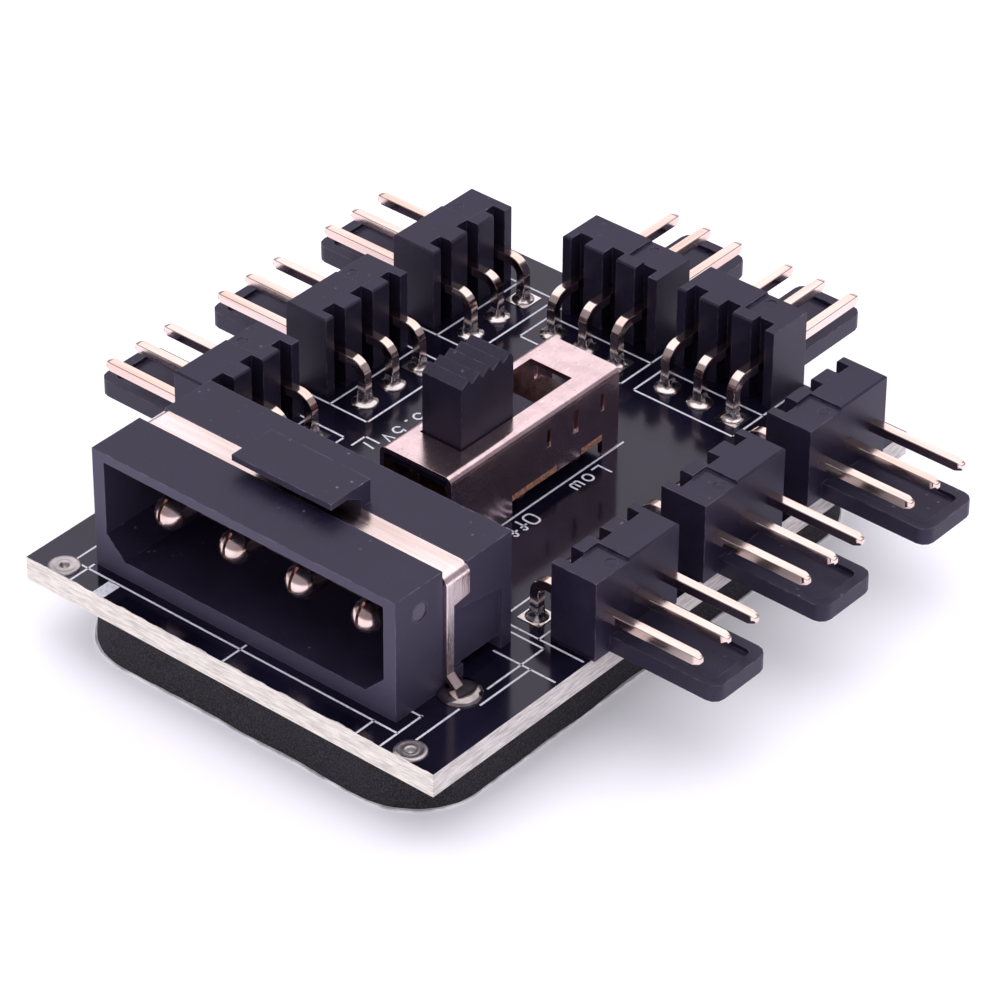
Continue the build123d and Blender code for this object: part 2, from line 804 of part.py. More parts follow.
def terminal_joint(x, y):
    """Solder round one terminal's tail, in the hole and under the board."""
    under = -board_thickness
    joint = upright(terminal_hole, under, 0) + upright(terminal_hole + solder_rim, 0, solder_rim)
    joint += taper(terminal_hole, under_joint_radius, under - under_joint_height, under)
    x_half, y_half = terminal_thickness / 2, terminal_tail / 2
    return Pos(x, y, 0) * (joint - block(-x_half, x_half, -y_half, y_half, tail_low, cut_margin))


def lever_teeth():
    """The side view of the lever's grip: a row of saw teeth along its travel."""
    pitch = lever_length / lever_tooth_count
    root = lever_height - lever_tooth_depth
    points = [(0, carriage_top), (0, root)]
    for index in range(lever_tooth_count):
        start = index * pitch
        points.append((start + pitch * lever_tooth_crest, lever_height))
        points.append((start + pitch, root))
    points.append((lever_length, carriage_top))
    return points


def switch_lever():
    """The lever: ridged grip above the cover, and the wide carriage that slides under it."""
    grip = Pos(0, lever_front, 0) * side_profile(lever_teeth(), lever_width, lever_x)
    half = switch_inner_width / 2 - carriage_gap
    front, rear = lever_front - carriage_overhang, lever_front + lever_length + carriage_overhang
    return grip + block(switch_shift - half, switch_shift + half, front, rear, carriage_bottom, carriage_top)


def contact_bridge(x):
    """A sprung clip under the carriage that straddles two neighbouring terminals."""
    gap = terminal_thickness / 2 + bridge_clearance
    half = gap + bridge_thickness
    front, rear = lever_middle - bridge_length / 2, lever_middle + bridge_length / 2
    clip = block(x - half, x + half, front, rear, bridge_bottom, carriage_bottom)
    return clip - block(x - gap, x + gap, front, rear, bridge_bottom, carriage_bottom - bridge_thickness)


def header_pieces():
    """Every fan header with its pins, and the solder of each row."""
    pieces = {}
    joints = {"left": [], "right": [], "rear": []}
    housing = header_housing()
    for name, (x, y, turn) in header_places().items():
        pieces[f"{name}_housing"] = on_board(housing, x, y, turn)
        leg = pin_leg(name)
        for index, row in enumerate(pin_rows):
            pieces[f"{name}_pin_{index + 1}"] = on_board(header_pin(row, leg), x, y, turn)
            joints[name.split("_")[0]].append(on_board(header_joint(row, leg), x, y, turn))
    for row_name, shapes in joints.items():
        pieces[f"{row_name}_header_solder"] = group(shapes)
    return pieces


def power_pieces():
    """The power inlet with its pins, strap and solder."""
    strap = power_strap()
    pieces = {
        "power_housing": on_board(power_housing(), power_shift),
        "power_strap": on_board(strap, power_shift),
    }
    joints = [on_board(strap_joint(side, strap), power_shift) for side in (-1, 1)]
    for index, row in enumerate(power_rows):
        pieces[f"power_pin_{index + 1}"] = on_board(power_pin(row), power_shift)
        joints.append(on_board(power_joint(row), power_shift))
    pieces["power_solder"] = group(joints)
    return pieces


def switch_pieces():
    """The slide switch: cover, base, lever, contact bridges, terminals and their solder."""
    pieces = {
        "switch_cover": on_board(switch_cover(), switch_shift, switch_front),
        "switch_base": on_board(switch_base(), switch_shift, switch_front),
        "switch_lever": on_board(switch_lever()),
    }
    joints = []
    for side, x in terminal_sides.items():
        pieces[f"switch_bridge_{side}"] = on_board(contact_bridge(switch_shift + x))
        for index, y in enumerate(terminal_rows):
            pieces[f"switch_terminal_{side}_{index + 1}"] = on_board(switch_terminal(switch_shift + x, y))
            joints.append(on_board(terminal_joint(switch_shift + x, y)))
    pieces["switch_solder"] = group(joints)
    return pieces


def build():
    """Every piece by the name of its file."""
    pieces = {"circuit_board": circuit_board()}
    pieces.update(pad_pieces())
    pieces["edge_pads"] = group([on_board(edge_pad(side)) for side in (-1, 1)])
    pieces.update(power_pieces())
    pieces.update(header_pieces())
    pieces.update(switch_pieces())
    return pieces


def save(pieces):
    """Write each piece to its own file."""
    os.makedirs("parts", exist_ok=True)
    for name, piece in pieces.items():
        export_step(piece, f"parts/{name}.step")


if __name__ == "__main__":
    save(build())
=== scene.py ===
"""Looks of a stick-on fan hub: board, print, foam pad, power inlet, fan headers, solder and slide switch.

Places are in millimetres from the board's front left top corner, with +X right, +Y to the rear and +Z up.
"""
import math
import random

import bmesh
import bpy
from bpy.props import FloatProperty, FloatVectorProperty, IntProperty, PointerProperty
from mathutils import Matrix, Vector, noise


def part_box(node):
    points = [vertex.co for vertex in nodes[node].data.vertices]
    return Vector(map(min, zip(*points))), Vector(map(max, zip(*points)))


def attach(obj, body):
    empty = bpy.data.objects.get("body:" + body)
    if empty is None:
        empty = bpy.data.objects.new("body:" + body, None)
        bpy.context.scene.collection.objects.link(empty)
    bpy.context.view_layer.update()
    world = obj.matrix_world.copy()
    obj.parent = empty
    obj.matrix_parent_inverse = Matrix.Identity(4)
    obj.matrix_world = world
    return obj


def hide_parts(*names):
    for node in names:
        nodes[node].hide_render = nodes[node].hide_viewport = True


bl_info = {
    "name": "Fan Hub Looks",
    "version": (1, 0, 0),
    "blender": (4, 5, 0),
    "location": "View3D > Sidebar > Fan Hub",
    "description": "Dresses the fan hub's frame with its finished pieces and a studio",
    "category": "Object",
}

MM = 0.001
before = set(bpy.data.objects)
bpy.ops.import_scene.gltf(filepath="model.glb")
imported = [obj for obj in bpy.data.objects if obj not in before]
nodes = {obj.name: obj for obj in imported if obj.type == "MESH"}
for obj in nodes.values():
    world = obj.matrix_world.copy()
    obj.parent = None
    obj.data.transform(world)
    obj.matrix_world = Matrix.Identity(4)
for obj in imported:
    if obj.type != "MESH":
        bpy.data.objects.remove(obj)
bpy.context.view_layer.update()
board_low, board_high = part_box("circuit_board")
corner = Vector((board_low.x, board_low.y, board_high.z))
board_size = (board_high - board_low) / MM

HEADERS = {"right": 3, "left": 3, "rear": 2}
OUTWARD = {"right": Vector((1, 0, 0)), "left": Vector((-1, 0, 0)), "rear": Vector((0, 1, 0))}
PINS_PER_HEADER = 3
POWER_PINS = 4
TERMINALS_PER_SIDE = 3


# Settings

class PlasticSettings(bpy.types.PropertyGroup):
    """The moulded connectors and the switch lever."""

    tone: FloatVectorProperty(
        name="Moulding colour", description="Colour of the connector mouldings",
        subtype="COLOR", min=0, max=1, default=(0.013, 0.010, 0.026))
    # rubbed edges with a painted highlight on every rounded edge, and dust
    worn_highlit_edge_and_dust_tone: FloatVectorProperty(
        name="Worn and highlit edge colour", description="Colour of rubbed edges, which also carries their painted highlight, and of dust",
        subtype="COLOR", min=0, max=1, default=(0.12, 0.105, 0.14))
    # painted light: a paler colour for the inlet's faces that look front, and by half for those that look
    # right
    painted_front_light_tone: FloatVectorProperty(
        name="Painted front light colour", description="Painted light on the inlet's faces that look front, and by half on those that look right",
        subtype="COLOR", min=0, max=1, default=(0.050, 0.043, 0.075))
    edge_break: FloatProperty(
        name="Edge break", description="Width of the small round on moulded edges",
        unit="LENGTH", min=0, default=0.07 * MM)
    roughness: FloatProperty(
        name="Roughness", description="Roughness of the moulded skin",
        subtype="FACTOR", min=0, max=1, default=0.44)


class MetalSettings(bpy.types.PropertyGroup):
    """Pins, strap, solder and the switch cover."""

    tin_tone: FloatVectorProperty(
        name="Tin colour", description="Colour of the plated pins",
        subtype="COLOR", min=0, max=1, default=(0.95, 0.76, 0.70))
    nickel_tone: FloatVectorProperty(
        name="Nickel colour", description="Colour of the switch cover",
        subtype="COLOR", min=0, max=1, default=(0.84, 0.63, 0.65))
    solder_tone: FloatVectorProperty(
        name="Solder colour", description="Colour of the solder joints",
        subtype="COLOR", min=0, max=1, default=(0.86, 0.78, 0.76))
    pad_tone: FloatVectorProperty(
        name="Pad colour", description="Colour of the dull corner pads",
        subtype="COLOR", min=0, max=1, default=(0.66, 0.60, 0.60))
    flux_tone: FloatVectorProperty(
        name="Flux colour", description="Colour of the solder under a skin of flux",
        subtype="COLOR", min=0, max=1, default=(0.50, 0.44, 0.43))
    strap_tone: FloatVectorProperty(
        name="Strap colour", description="Colour of the tin strap",
        subtype="COLOR", min=0, max=1, default=(0.98, 0.82, 0.81))
    edge_break: FloatProperty(
        name="Edge break", description="Width of the small round on sheet and pin edges",
        unit="LENGTH", min=0, default=0.05 * MM)
    nose_steps: IntProperty(
        name="Nose steps", description="Rings on the round nose of a power pin", min=3, default=8)
    nose_gap: FloatProperty(
        name="Nose gap", description="Width of the split across a power pin's nose",
        unit="LENGTH", min=0, default=0.22 * MM)


class BoardSettings(bpy.types.PropertyGroup):
    """The circuit board and its white print."""

    mask_tone: FloatVectorProperty(
        name="Mask colour", description="Colour of the glossy solder mask",
        subtype="COLOR", min=0, max=1, default=(0.005, 0.004, 0.012))
    fibre_tone: FloatVectorProperty(
        name="Fibre colour", description="Colour of the board's sawn edges",
        subtype="COLOR", min=0, max=1, default=(0.96, 0.89, 0.80))
    # painted shade: the long sides' fibre is greyer than the front's
    shaded_side_tone: FloatVectorProperty(
        name="Shaded side colour", description="Painted shade on the fibre of the long sides, greyer than the lit front",
        subtype="COLOR", min=0, max=1, default=(0.74, 0.69, 0.66))
    ink_tone: FloatVectorProperty(
        name="Ink colour", description="Colour of the printed lines and letters",
        subtype="COLOR", min=0, max=1, default=(0.66, 0.66, 0.74))
    ink_height: FloatProperty(
        name="Ink height", description="How far the print stands above the mask",
        unit="LENGTH", min=0, default=0.012 * MM)
    line_width: FloatProperty(
        name="Line width", description="Width of the printed lines",
        unit="LENGTH", min=0, default=0.135 * MM)


class PadSettings(bpy.types.PropertyGroup):
    """The foam pad, its film and its liner."""

    foam_tone: FloatVectorProperty(
        name="Foam colour", description="Colour of the foam",
        subtype="COLOR", min=0, max=1, default=(0.027, 0.023, 0.029))
    liner_tone: FloatVectorProperty(
        name="Liner colour", description="Colour of the release liner and the film",
        subtype="COLOR", min=0, max=1, default=(0.82, 0.80, 0.80))
    wave: FloatProperty(
        name="Edge wave", description="How far the cut edge of the foam wanders",
        unit="LENGTH", min=0, default=0.17 * MM)
    seed: IntProperty(name="Seed", description="Seed of the ragged edges", min=0, default=7)


class StageSettings(bpy.types.PropertyGroup):
    """Floor, lamp and camera."""

    azimuth: FloatProperty(
        name="Azimuth", description="Turn of the camera round the hub",
        subtype="ANGLE", default=math.radians(39.98))
    elevation: FloatProperty(
        name="Elevation", description="Angle of the camera above the floor",
        subtype="ANGLE", default=math.radians(35.49))
    roll: FloatProperty(
        name="Roll", description="Roll of the camera about its line of sight",
        subtype="ANGLE", default=math.radians(0.41))
    distance: FloatProperty(
        name="Distance", description="From the camera to the point it aims at",
        unit="LENGTH", min=0, default=310.46 * MM)
    lens: FloatProperty(
        name="Lens", description="Focal length, in millimetres on a 36 mm sensor",
        unit="CAMERA", min=1, default=188.21)
    aim: FloatVectorProperty(
        name="Aim", description="The point in the middle of the picture",
        subtype="TRANSLATION", default=(1.97 * MM, 0.03 * MM, 6.07 * MM))
    floor_tone: FloatVectorProperty(
        name="Floor colour", description="Colour of the floor",
        subtype="COLOR", min=0, max=1, default=(0.84, 0.82, 0.88))
    lamp_power: FloatProperty(
        name="Lamp power", description="Power of the large soft lamp, in watts",
        unit="POWER", min=0, default=12.0)


SETTINGS = {
    "fan_hub_plastic": PlasticSettings,
    "fan_hub_metal": MetalSettings,
    "fan_hub_board": BoardSettings,
    "fan_hub_pad": PadSettings,
    "fan_hub_stage": StageSettings,
}


# Shader building

def add_node(tree, kind, inputs=None, **settings):
    """A shader node with its settings made and its inputs set or linked."""
    made = tree.nodes.new(kind)
    for key, value in settings.items():
        setattr(made, key, value)
    for key, value in (inputs or {}).items():
        if isinstance(value, bpy.types.NodeSocket):
            tree.links.new(value, made.inputs[key])
        else:
            made.inputs[key].default_value = value
    return made


def mixed(tree, factor, low, high):
    """Colour between low and high by factor."""
    made = add_node(tree, "ShaderNodeMix", {0: factor, 6: low, 7: high}, data_type="RGBA")
    return made.outputs[2]


def spread(tree, value, from_low, from_high, to_low=0.0, to_high=1.0):
    """A value moved from one range to another and clamped there."""
    made = add_node(tree, "ShaderNodeMapRange", {0: value, 1: from_low, 2: from_high, 3: to_low, 4: to_high})
    return made.outputs[0]


def calc(tree, operation, first, second=0.0):
    """One arithmetic step on one or two values."""
    return add_node(tree, "ShaderNodeMath", {0: first, 1: second}, operation=operation).outputs[0]


def axis_of(tree, vector, axis):
    """One of the three parts of a vector."""
    return add_node(tree, "ShaderNodeSeparateXYZ", {0: vector}).outputs[axis]


def place_on(tree):
    """The place of a point on its piece, in metres."""
    return add_node(tree, "ShaderNodeTexCoord").outputs["Object"]


def facing_of(tree, axis, normal="True Normal"):
    """How far a face looks along an axis, from -1 to 1."""
    return axis_of(tree, add_node(tree, "ShaderNodeNewGeometry").outputs[normal], axis)


def cloudy(tree, place, scale, detail, roughness=0.5):
    """Noise over a place, finer with more detail."""
    inputs = {"Vector": place, "Scale": scale, "Detail": detail, "Roughness": roughness}
    return add_node(tree, "ShaderNodeTexNoise", inputs).outputs[0]


def spots(tree, place, scale):
    """How far a place is from the nearest of many scattered points."""
    return add_node(tree, "ShaderNodeTexVoronoi", {"Vector": place, "Scale": scale}).outputs["Distance"]


def rgba(tone, share=1.0):
    """A colour with its alpha, made darker or lighter by share."""
    return (tone[0] * share, tone[1] * share, tone[2] * share, 1.0)


def new_group(name, inputs, outputs):
    """An empty shader node group with named sockets, and its two end nodes."""
    tree = bpy.data.node_groups.new(name, "ShaderNodeTree")
    for socket, default in inputs.items():
        kind = "NodeSocketVector" if isinstance(default, tuple) else "NodeSocketFloat"
        made = tree.interface.new_socket(socket, in_out="INPUT", socket_type=kind)
        made.default_value = default
    for socket in outputs:
        tree.interface.new_socket(socket, in_out="OUTPUT", socket_type="NodeSocketFloat")
    return tree, tree.nodes.new("NodeGroupInput"), tree.nodes.new("NodeGroupOutput")


def grain_group():
    """Fine even grain of a moulded skin or a foam, with a slower drift of tone."""
    tree, given, result = new_group("Fine grain", {"Scale": 9000.0, "Drift": 400.0}, ["Height", "Tone"])
    place = place_on(tree)
    tree.links.new(cloudy(tree, place, given.outputs["Scale"], 4.0, 0.7), result.inputs["Height"])
    tree.links.new(cloudy(tree, place, given.outputs["Drift"], 3.0), result.inputs["Tone"])
    return tree


def edge_wear_and_highlight_group():
    """Rubbed edges that also carry a painted highlight: where the rounded normal leaves the face's own,
    broken up by noise.
    """
    tree, given, result = new_group("Edge wear", {"Radius": 0.1 * MM, "Breakup": 2500.0}, ["Mask"])
    rounded = add_node(tree, "ShaderNodeBevel", {"Radius": given.outputs["Radius"]}, samples=6).outputs[0]
    facing = add_node(tree, "ShaderNodeNewGeometry").outputs["Normal"]
    agree = add_node(tree, "ShaderNodeVectorMath", {0: rounded, 1: facing}, operation="DOT_PRODUCT")
    edge = spread(tree, agree.outputs["Value"], 0.99, 0.85)
    broken = spread(tree, cloudy(tree, place_on(tree), given.outputs["Breakup"], 4.0), 0.40, 0.62)
    tree.links.new(calc(tree, "MULTIPLY", edge, broken), result.inputs["Mask"])
    return tree


def streak_group():
    """Long thin marks: noise drawn out along the axes where Stretch is small."""
    tree, given, result = new_group(
        "Streaks", {"Stretch": (1.0, 0.05, 1.0), "Scale": 5000.0}, ["Height", "Tone"])
    drawn = add_node(tree, "ShaderNodeVectorMath", {0: place_on(tree), 1: given.outputs["Stretch"]},
                     operation="MULTIPLY").outputs[0]
    scale = given.outputs["Scale"]
    tree.links.new(cloudy(tree, drawn, scale, 5.0, 0.65), result.inputs["Height"])
    tree.links.new(cloudy(tree, drawn, calc(tree, "MULTIPLY", scale, 0.3), 3.0), result.inputs["Tone"])
    return tree


def dust_group():
    """Specks of dust that lie on faces which look up."""
    tree, given, result = new_group("Dust", {"Scale": 1500.0, "Amount": 0.5}, ["Mask"])
    place = place_on(tree)
    mask = spread(tree, spots(tree, place, given.outputs["Scale"]), 0.16, 0.06)
    patch = spread(tree, cloudy(tree, place, 300.0, 2.0), 0.5, 0.7)
    lying = spread(tree, facing_of(tree, "Z", "Normal"), 0.4, 0.9)
    for share in (patch, lying, given.outputs["Amount"]):
        mask = calc(tree, "MULTIPLY", mask, share)
    tree.links.new(mask, result.inputs["Mask"])
    return tree


GROUPS = {"Fine grain": grain_group, "Edge wear": edge_wear_and_highlight_group, "Streaks": streak_group, "Dust": dust_group}


def effect(tree, name, **values):
    """One of the shared node groups, placed in a material with its own values."""
    group = bpy.data.node_groups.get(name) or GROUPS[name]()
    placed = add_node(tree, "ShaderNodeGroup", node_tree=group)
    for key, value in values.items():
        placed.inputs[key.capitalize()].default_value = value
    return placed.outputs


def start_material(**constants):
    """A material with one Principled shader, its constant sockets set."""
    made = bpy.data.materials.new("finish")
    made.use_nodes = True
    shader = made.node_tree.nodes["Principled BSDF"]
    for key, value in constants.items():
        shader.inputs[key.replace("_", " ")].default_value = value
    return made, made.node_tree, shader


def rough_skin(tree, shader, height, depth, under=None):
    """Bump a shader's normal by a height, over another bump if one is given."""
    inputs = {"Height": height, "Distance": depth, "Strength": 1.0}
    if under is not None:
        inputs["Normal"] = under
    bump = add_node(tree, "ShaderNodeBump", inputs).outputs[0]
    tree.links.new(bump, shader.inputs["Normal"])
    return bump


def paint(tree, shader, tone, rough):
    """Give a shader its colour and its roughness."""
    tree.links.new(tone, shader.inputs["Base Color"])
    tree.links.new(rough, shader.inputs["Roughness"])


def painted_front_light(tree, settings, tone):
    """Painted light: a tone made paler on faces that look to the front, and by half on those that look right,
    as if more light fell there.
    """
    front = spread(tree, facing_of(tree, "Y"), -0.7, -0.95)
    right = spread(tree, facing_of(tree, "X"), 0.7, 0.95, 0.0, 0.5)
    return mixed(tree, calc(tree, "MAXIMUM", front, right), tone, rgba(settings.painted_front_light_tone))


def rubbed_spot(tree, middle, grain):
    """The mask of one round rubbed spot, broken up by the grain."""
    away = add_node(tree, "ShaderNodeVectorMath", {0: place_on(tree), 1: middle}, operation="DISTANCE")
    near = spread(tree, away.outputs["Value"], 0.62 * MM, 0.50 * MM)
    return calc(tree, "MULTIPLY", near, spread(tree, grain, 0.35, 0.6, 0.4, 1.0))


def moulded_plastic(settings, shade=1.0, grain=11000.0, rubbed=None):
    """Dark grained plastic with worn edges that also carry a painted highlight, and dust. The inlet's has
    painted light on its faces that look front and right, and a rubbed spot.
    """
    made, tree, shader = start_material(IOR=1.5, Specular_Tint=(0.87, 0.78, 1.0, 1.0))
    skin = effect(tree, "Fine grain", scale=grain, drift=500.0)
    wear_and_highlight = effect(tree, "Edge wear", radius=0.12 * MM, breakup=1500.0)["Mask"]
    dust = effect(tree, "Dust", scale=1400.0, amount=0.6)["Mask"]
    deep, pale = rgba(settings.tone, 0.6 * shade), rgba(settings.tone, 1.6 * shade)
    speckle = calc(tree, "ADD", calc(tree, "MULTIPLY", skin["Tone"], 0.4), skin["Height"])
    tone = mixed(tree, spread(tree, speckle, 0.55, 0.85), deep, pale)
    if rubbed is not None:
        # painted light: the inlet's faces that look front and right are made paler
        tone = painted_front_light(tree, settings, tone)
        wear_and_highlight = calc(tree, "MAXIMUM", wear_and_highlight, rubbed_spot(tree, rubbed, skin["Height"]))
    # edges lightened: partly rubbing, partly a painted highlight on every rounded edge
    tone = mixed(tree, calc(tree, "MULTIPLY", wear_and_highlight, 0.9), tone, rgba(settings.worn_highlit_edge_and_dust_tone))
    tone = mixed(tree, dust, tone, rgba(settings.worn_highlit_edge_and_dust_tone, 2.0))
    low, high = settings.roughness - 0.08, settings.roughness + 0.08
    paint(tree, shader, tone, spread(tree, speckle, 0.5, 0.9, low, high))
    rough_skin(tree, shader, skin["Height"], 0.009 * MM)
    return made


def plated_metal(tone, stretch, rough, tarnish, depth=0.004, scale=4500.0):
    """Plated metal with drawn streaks and darker tarnish between them."""
    made, tree, shader = start_material(Metallic=1.0)
    marks = effect(tree, "Streaks", stretch=stretch, scale=scale)
    warm = (tone[0] * tarnish, tone[1] * tarnish * 0.92, tone[2] * tarnish * 0.86, 1.0)
    streaky = mixed(tree, spread(tree, marks["Tone"], 0.4, 0.7), rgba(tone), warm)
    paint(tree, shader, streaky, spread(tree, marks["Height"], 0.3, 0.7, *rough))
    rough_skin(tree, shader, marks["Height"], depth * MM)
    return made


def satin_metal(tone):
    """Satin nickel sheet: fine grain, small dark pits and fine scratches."""
    made, tree, shader = start_material(Metallic=1.0)
    grain = effect(tree, "Fine grain", scale=9500.0, drift=700.0)
    scratch = effect(tree, "Streaks", stretch=(1.0, 0.5, 0.12), scale=3000.0)
    pits = spread(tree, spots(tree, place_on(tree), 1900.0), 0.05, 0.10)
    drift = mixed(tree, spread(tree, grain["Tone"], 0.35, 0.65), rgba(tone, 0.86), rgba(tone, 1.05))
    marked = mixed(tree, spread(tree, scratch["Height"], 0.60, 0.70), drift, rgba(tone, 1.25))
    rough = spread(tree, grain["Height"], 0.3, 0.7, 0.14, 0.28)
    paint(tree, shader, mixed(tree, pits, rgba(tone, 0.3), marked), rough)
    rough_skin(tree, shader, grain["Height"], 0.003 * MM)
    return made


def board_material(settings):
    """Glossy solder mask on top and below, bare fibre on the sawn edges and in chips along the front, with
    painted shade making the fibre on the long sides greyer than on the front and rear.
    """
    made, tree, shader = start_material(IOR=1.46, Specular_Tint=(0.90, 0.80, 1.0, 1.0))
    place = place_on(tree)
    side = spread(tree, calc(tree, "ABSOLUTE", facing_of(tree, "Z")), 0.6, 0.4)
    from_front = calc(tree, "SUBTRACT", axis_of(tree, place, "Y"), board_low.y)
    reach = spread(tree, cloudy(tree, place, 900.0, 6.0), 0.42, 0.80, 0.0, 0.16 * MM)
    bare = calc(tree, "MAXIMUM", side, calc(tree, "LESS_THAN", from_front, reach))
    layers = effect(tree, "Streaks", stretch=(0.12, 0.12, 1.0), scale=6500.0)
    # painted shade: fibre on faces that look along X gets the greyer side colour, on faces that look along Y
    # the paler one
    pale = spread(tree, calc(tree, "ABSOLUTE", facing_of(tree, "Y")), 0.3, 0.8)
    fibre = mixed(tree, pale, rgba(settings.shaded_side_tone), rgba(settings.fibre_tone))
    dark_fibre = mixed(tree, pale, rgba(settings.shaded_side_tone, 0.6), rgba(settings.fibre_tone, 0.66))
    weave = mixed(tree, spread(tree, layers["Height"], 0.36, 0.60), dark_fibre, fibre)
    drift = effect(tree, "Fine grain", scale=2500.0, drift=160.0)
    mask = mixed(tree, spread(tree, drift["Tone"], 0.4, 0.6), rgba(settings.mask_tone, 0.7),
                 rgba(settings.mask_tone, 1.5))
    smear = spread(tree, drift["Tone"], 0.3, 0.7, 0.10, 0.17)
    rough = calc(tree, "MAXIMUM", calc(tree, "MULTIPLY", bare, 0.72), smear)
    paint(tree, shader, mixed(tree, bare, mask, weave), rough)
    ripple = rough_skin(tree, shader, drift["Height"], 0.0012 * MM)
    rough_skin(tree, shader, calc(tree, "MULTIPLY", layers["Height"], bare), 0.05 * MM, ripple)
    return made


def foam_material(settings):
    """Closed-cell foam: dark, matte and full of small pits."""
    made, tree, shader = start_material(Roughness=0.95)
    grain = effect(tree, "Fine grain", scale=9000.0, drift=900.0)
    tone = mixed(tree, spread(tree, grain["Height"], 0.42, 0.70), rgba(settings.foam_tone, 0.4),
                 rgba(settings.foam_tone, 2.3))
    tree.links.new(tone, shader.inputs["Base Color"])
    pitted = rough_skin(tree, shader, spots(tree, place_on(tree), 6500.0), 0.025 * MM)
    rough_skin(tree, shader, grain["Height"], 0.02 * MM, pitted)
    return made


def paper_material(tone, roughness=0.45):
    """Thin pale paper or film, a little uneven."""
    made, tree, shader = start_material()
    grain = effect(tree, "Fine grain", scale=4000.0, drift=700.0)
    colour = mixed(tree, spread(tree, grain["Tone"], 0.35, 0.65), rgba(tone, 0.6), rgba(tone, 1.1))
    paint(tree, shader, colour, spread(tree, grain["Tone"], 0.3, 0.7, roughness, roughness + 0.25))
    rough_skin(tree, shader, grain["Height"], 0.01 * MM)
    return made


def ink_material(settings):
    """White print, thin enough in places to show the mask."""
    made, tree, shader = start_material(IOR=1.45)
    grain = effect(tree, "Fine grain", scale=5200.0, drift=1500.0)
    thin = spread(tree, grain["Height"], 0.3, 0.5)
    colour = mixed(tree, thin, rgba(settings.ink_tone, 0.55), rgba(settings.ink_tone))
    paint(tree, shader, colour, spread(tree, grain["Tone"], 0.3, 0.7, 0.45, 0.7))
    return made


def resin_material():
    """The switch's pressed resin: brown and speckled on its cut sides, red-brown on inner faces that look up,
    and near-black painted shade on its other inner faces.
    """
    made, tree, shader = start_material()
    low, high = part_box("switch_base")
    grain = effect(tree, "Fine grain", scale=5000.0, drift=1600.0)
    speckle = spread(tree, grain["Height"], 0.38, 0.66)
    cut = mixed(tree, speckle, (0.22, 0.07, 0.045, 1.0), (0.68, 0.36, 0.25, 1.0))
    floor = mixed(tree, speckle, (0.035, 0.009, 0.009, 1.0), (0.11, 0.030, 0.027, 1.0))
    across = calc(tree, "SUBTRACT", axis_of(tree, place_on(tree), "X"), (low.x + high.x) / 2)
    outer = calc(tree, "GREATER_THAN", calc(tree, "ABSOLUTE", across), (high.x - low.x) / 2 - 0.12 * MM)
    sideways = calc(tree, "GREATER_THAN", calc(tree, "ABSOLUTE", facing_of(tree, "X")), 0.6)
    upward = calc(tree, "GREATER_THAN", facing_of(tree, "Z"), 0.5)
    # painted shade: inner faces that do not look up are near-black, as if in shadow under the cover
    inside = mixed(tree, upward, (0.016, 0.013, 0.018, 1.0), floor)
    tone = mixed(tree, calc(tree, "MULTIPLY", outer, sideways), inside, cut)
    paint(tree, shader, tone, spread(tree, grain["Tone"], 0.3, 0.7, 0.45, 0.7))
    rough_skin(tree, shader, grain["Height"], 0.02 * MM)
    return made


def solder_material(tone, rough=(0.12, 0.26)):
    """Bright solder with a smooth, slightly uneven skin."""
    made, tree, shader = start_material(Metallic=1.0)
    grain = effect(tree, "Fine grain", scale=2200.0, drift=900.0)
    colour = mixed(tree, spread(tree, grain["Tone"], 0.4, 0.7), rgba(tone), rgba(tone, 0.65))
    paint(tree, shader, colour, spread(tree, grain["Height"], 0.3, 0.7, *rough))
    rough_skin(tree, shader, grain["Height"], 0.004 * MM)
    return made


def make_materials(scene):
    """Every finish on the hub, by the name the operators use."""
    plastic, metal = scene.fan_hub_plastic, scene.fan_hub_metal
    board, pad = scene.fan_hub_board, scene.fan_hub_pad
    tin = metal.tin_tone
    return {
        "housing": moulded_plastic(plastic),
        "inlet": moulded_plastic(plastic, rubbed=on_board(*RUBBED_SPOT)),
        "lever": moulded_plastic(plastic, shade=0.8, grain=8000.0),
        "pin": plated_metal(tin, (0.08, 1.0, 1.0), (0.08, 0.2), 0.86, 0.0015),
        "rear pin": plated_metal(tin, (1.0, 0.08, 1.0), (0.08, 0.2), 0.86, 0.0015),
        "power pin": plated_metal(tin, (1.0, 0.1, 1.0), (0.16, 0.28), 0.8, 0.0015),
        "strap": plated_metal(metal.strap_tone, (0.06, 1.0, 0.12), (0.16, 0.30), 0.74, 0.012, 3200.0),
        "nickel": satin_metal(metal.nickel_tone),
        "contact": plated_metal(metal.solder_tone, (1.0, 0.2, 1.0), (0.15, 0.3), 0.8),
        "solder": solder_material(metal.solder_tone),
        "dull solder": solder_material(metal.pad_tone, (0.3, 0.45)),
        "flux solder": solder_material(metal.flux_tone, (0.08, 0.16)),
        "board": board_material(board),
        "ink": ink_material(board),
        "foam": foam_material(pad),
        "liner": paper_material(pad.liner_tone),
        "film": paper_material(pad.liner_tone, 0.3),
        "resin": resin_material(),
    }


def finish(name):
    """A finish by its name, made with the others when the first one is asked for."""
    key = f"hub {name}"
    if key not in bpy.data.materials:
        for label, made in make_materials(bpy.context.scene).items():
            made.name = f"hub {label}"
    return bpy.data.materials[key]


# Mesh building

SHARP_ANGLE = math.radians(35)
SOLDER_SHARP_ANGLE = math.radians(60)
FLAT_ANGLE = math.radians(0.5)
JOIN_DISTANCE = 0.0005 * MM


def on_board(x, y, z=0.0):
    """A place in millimetres from the board's corner, in the frame's metres."""
    return corner + Vector((x, y, z)) * MM


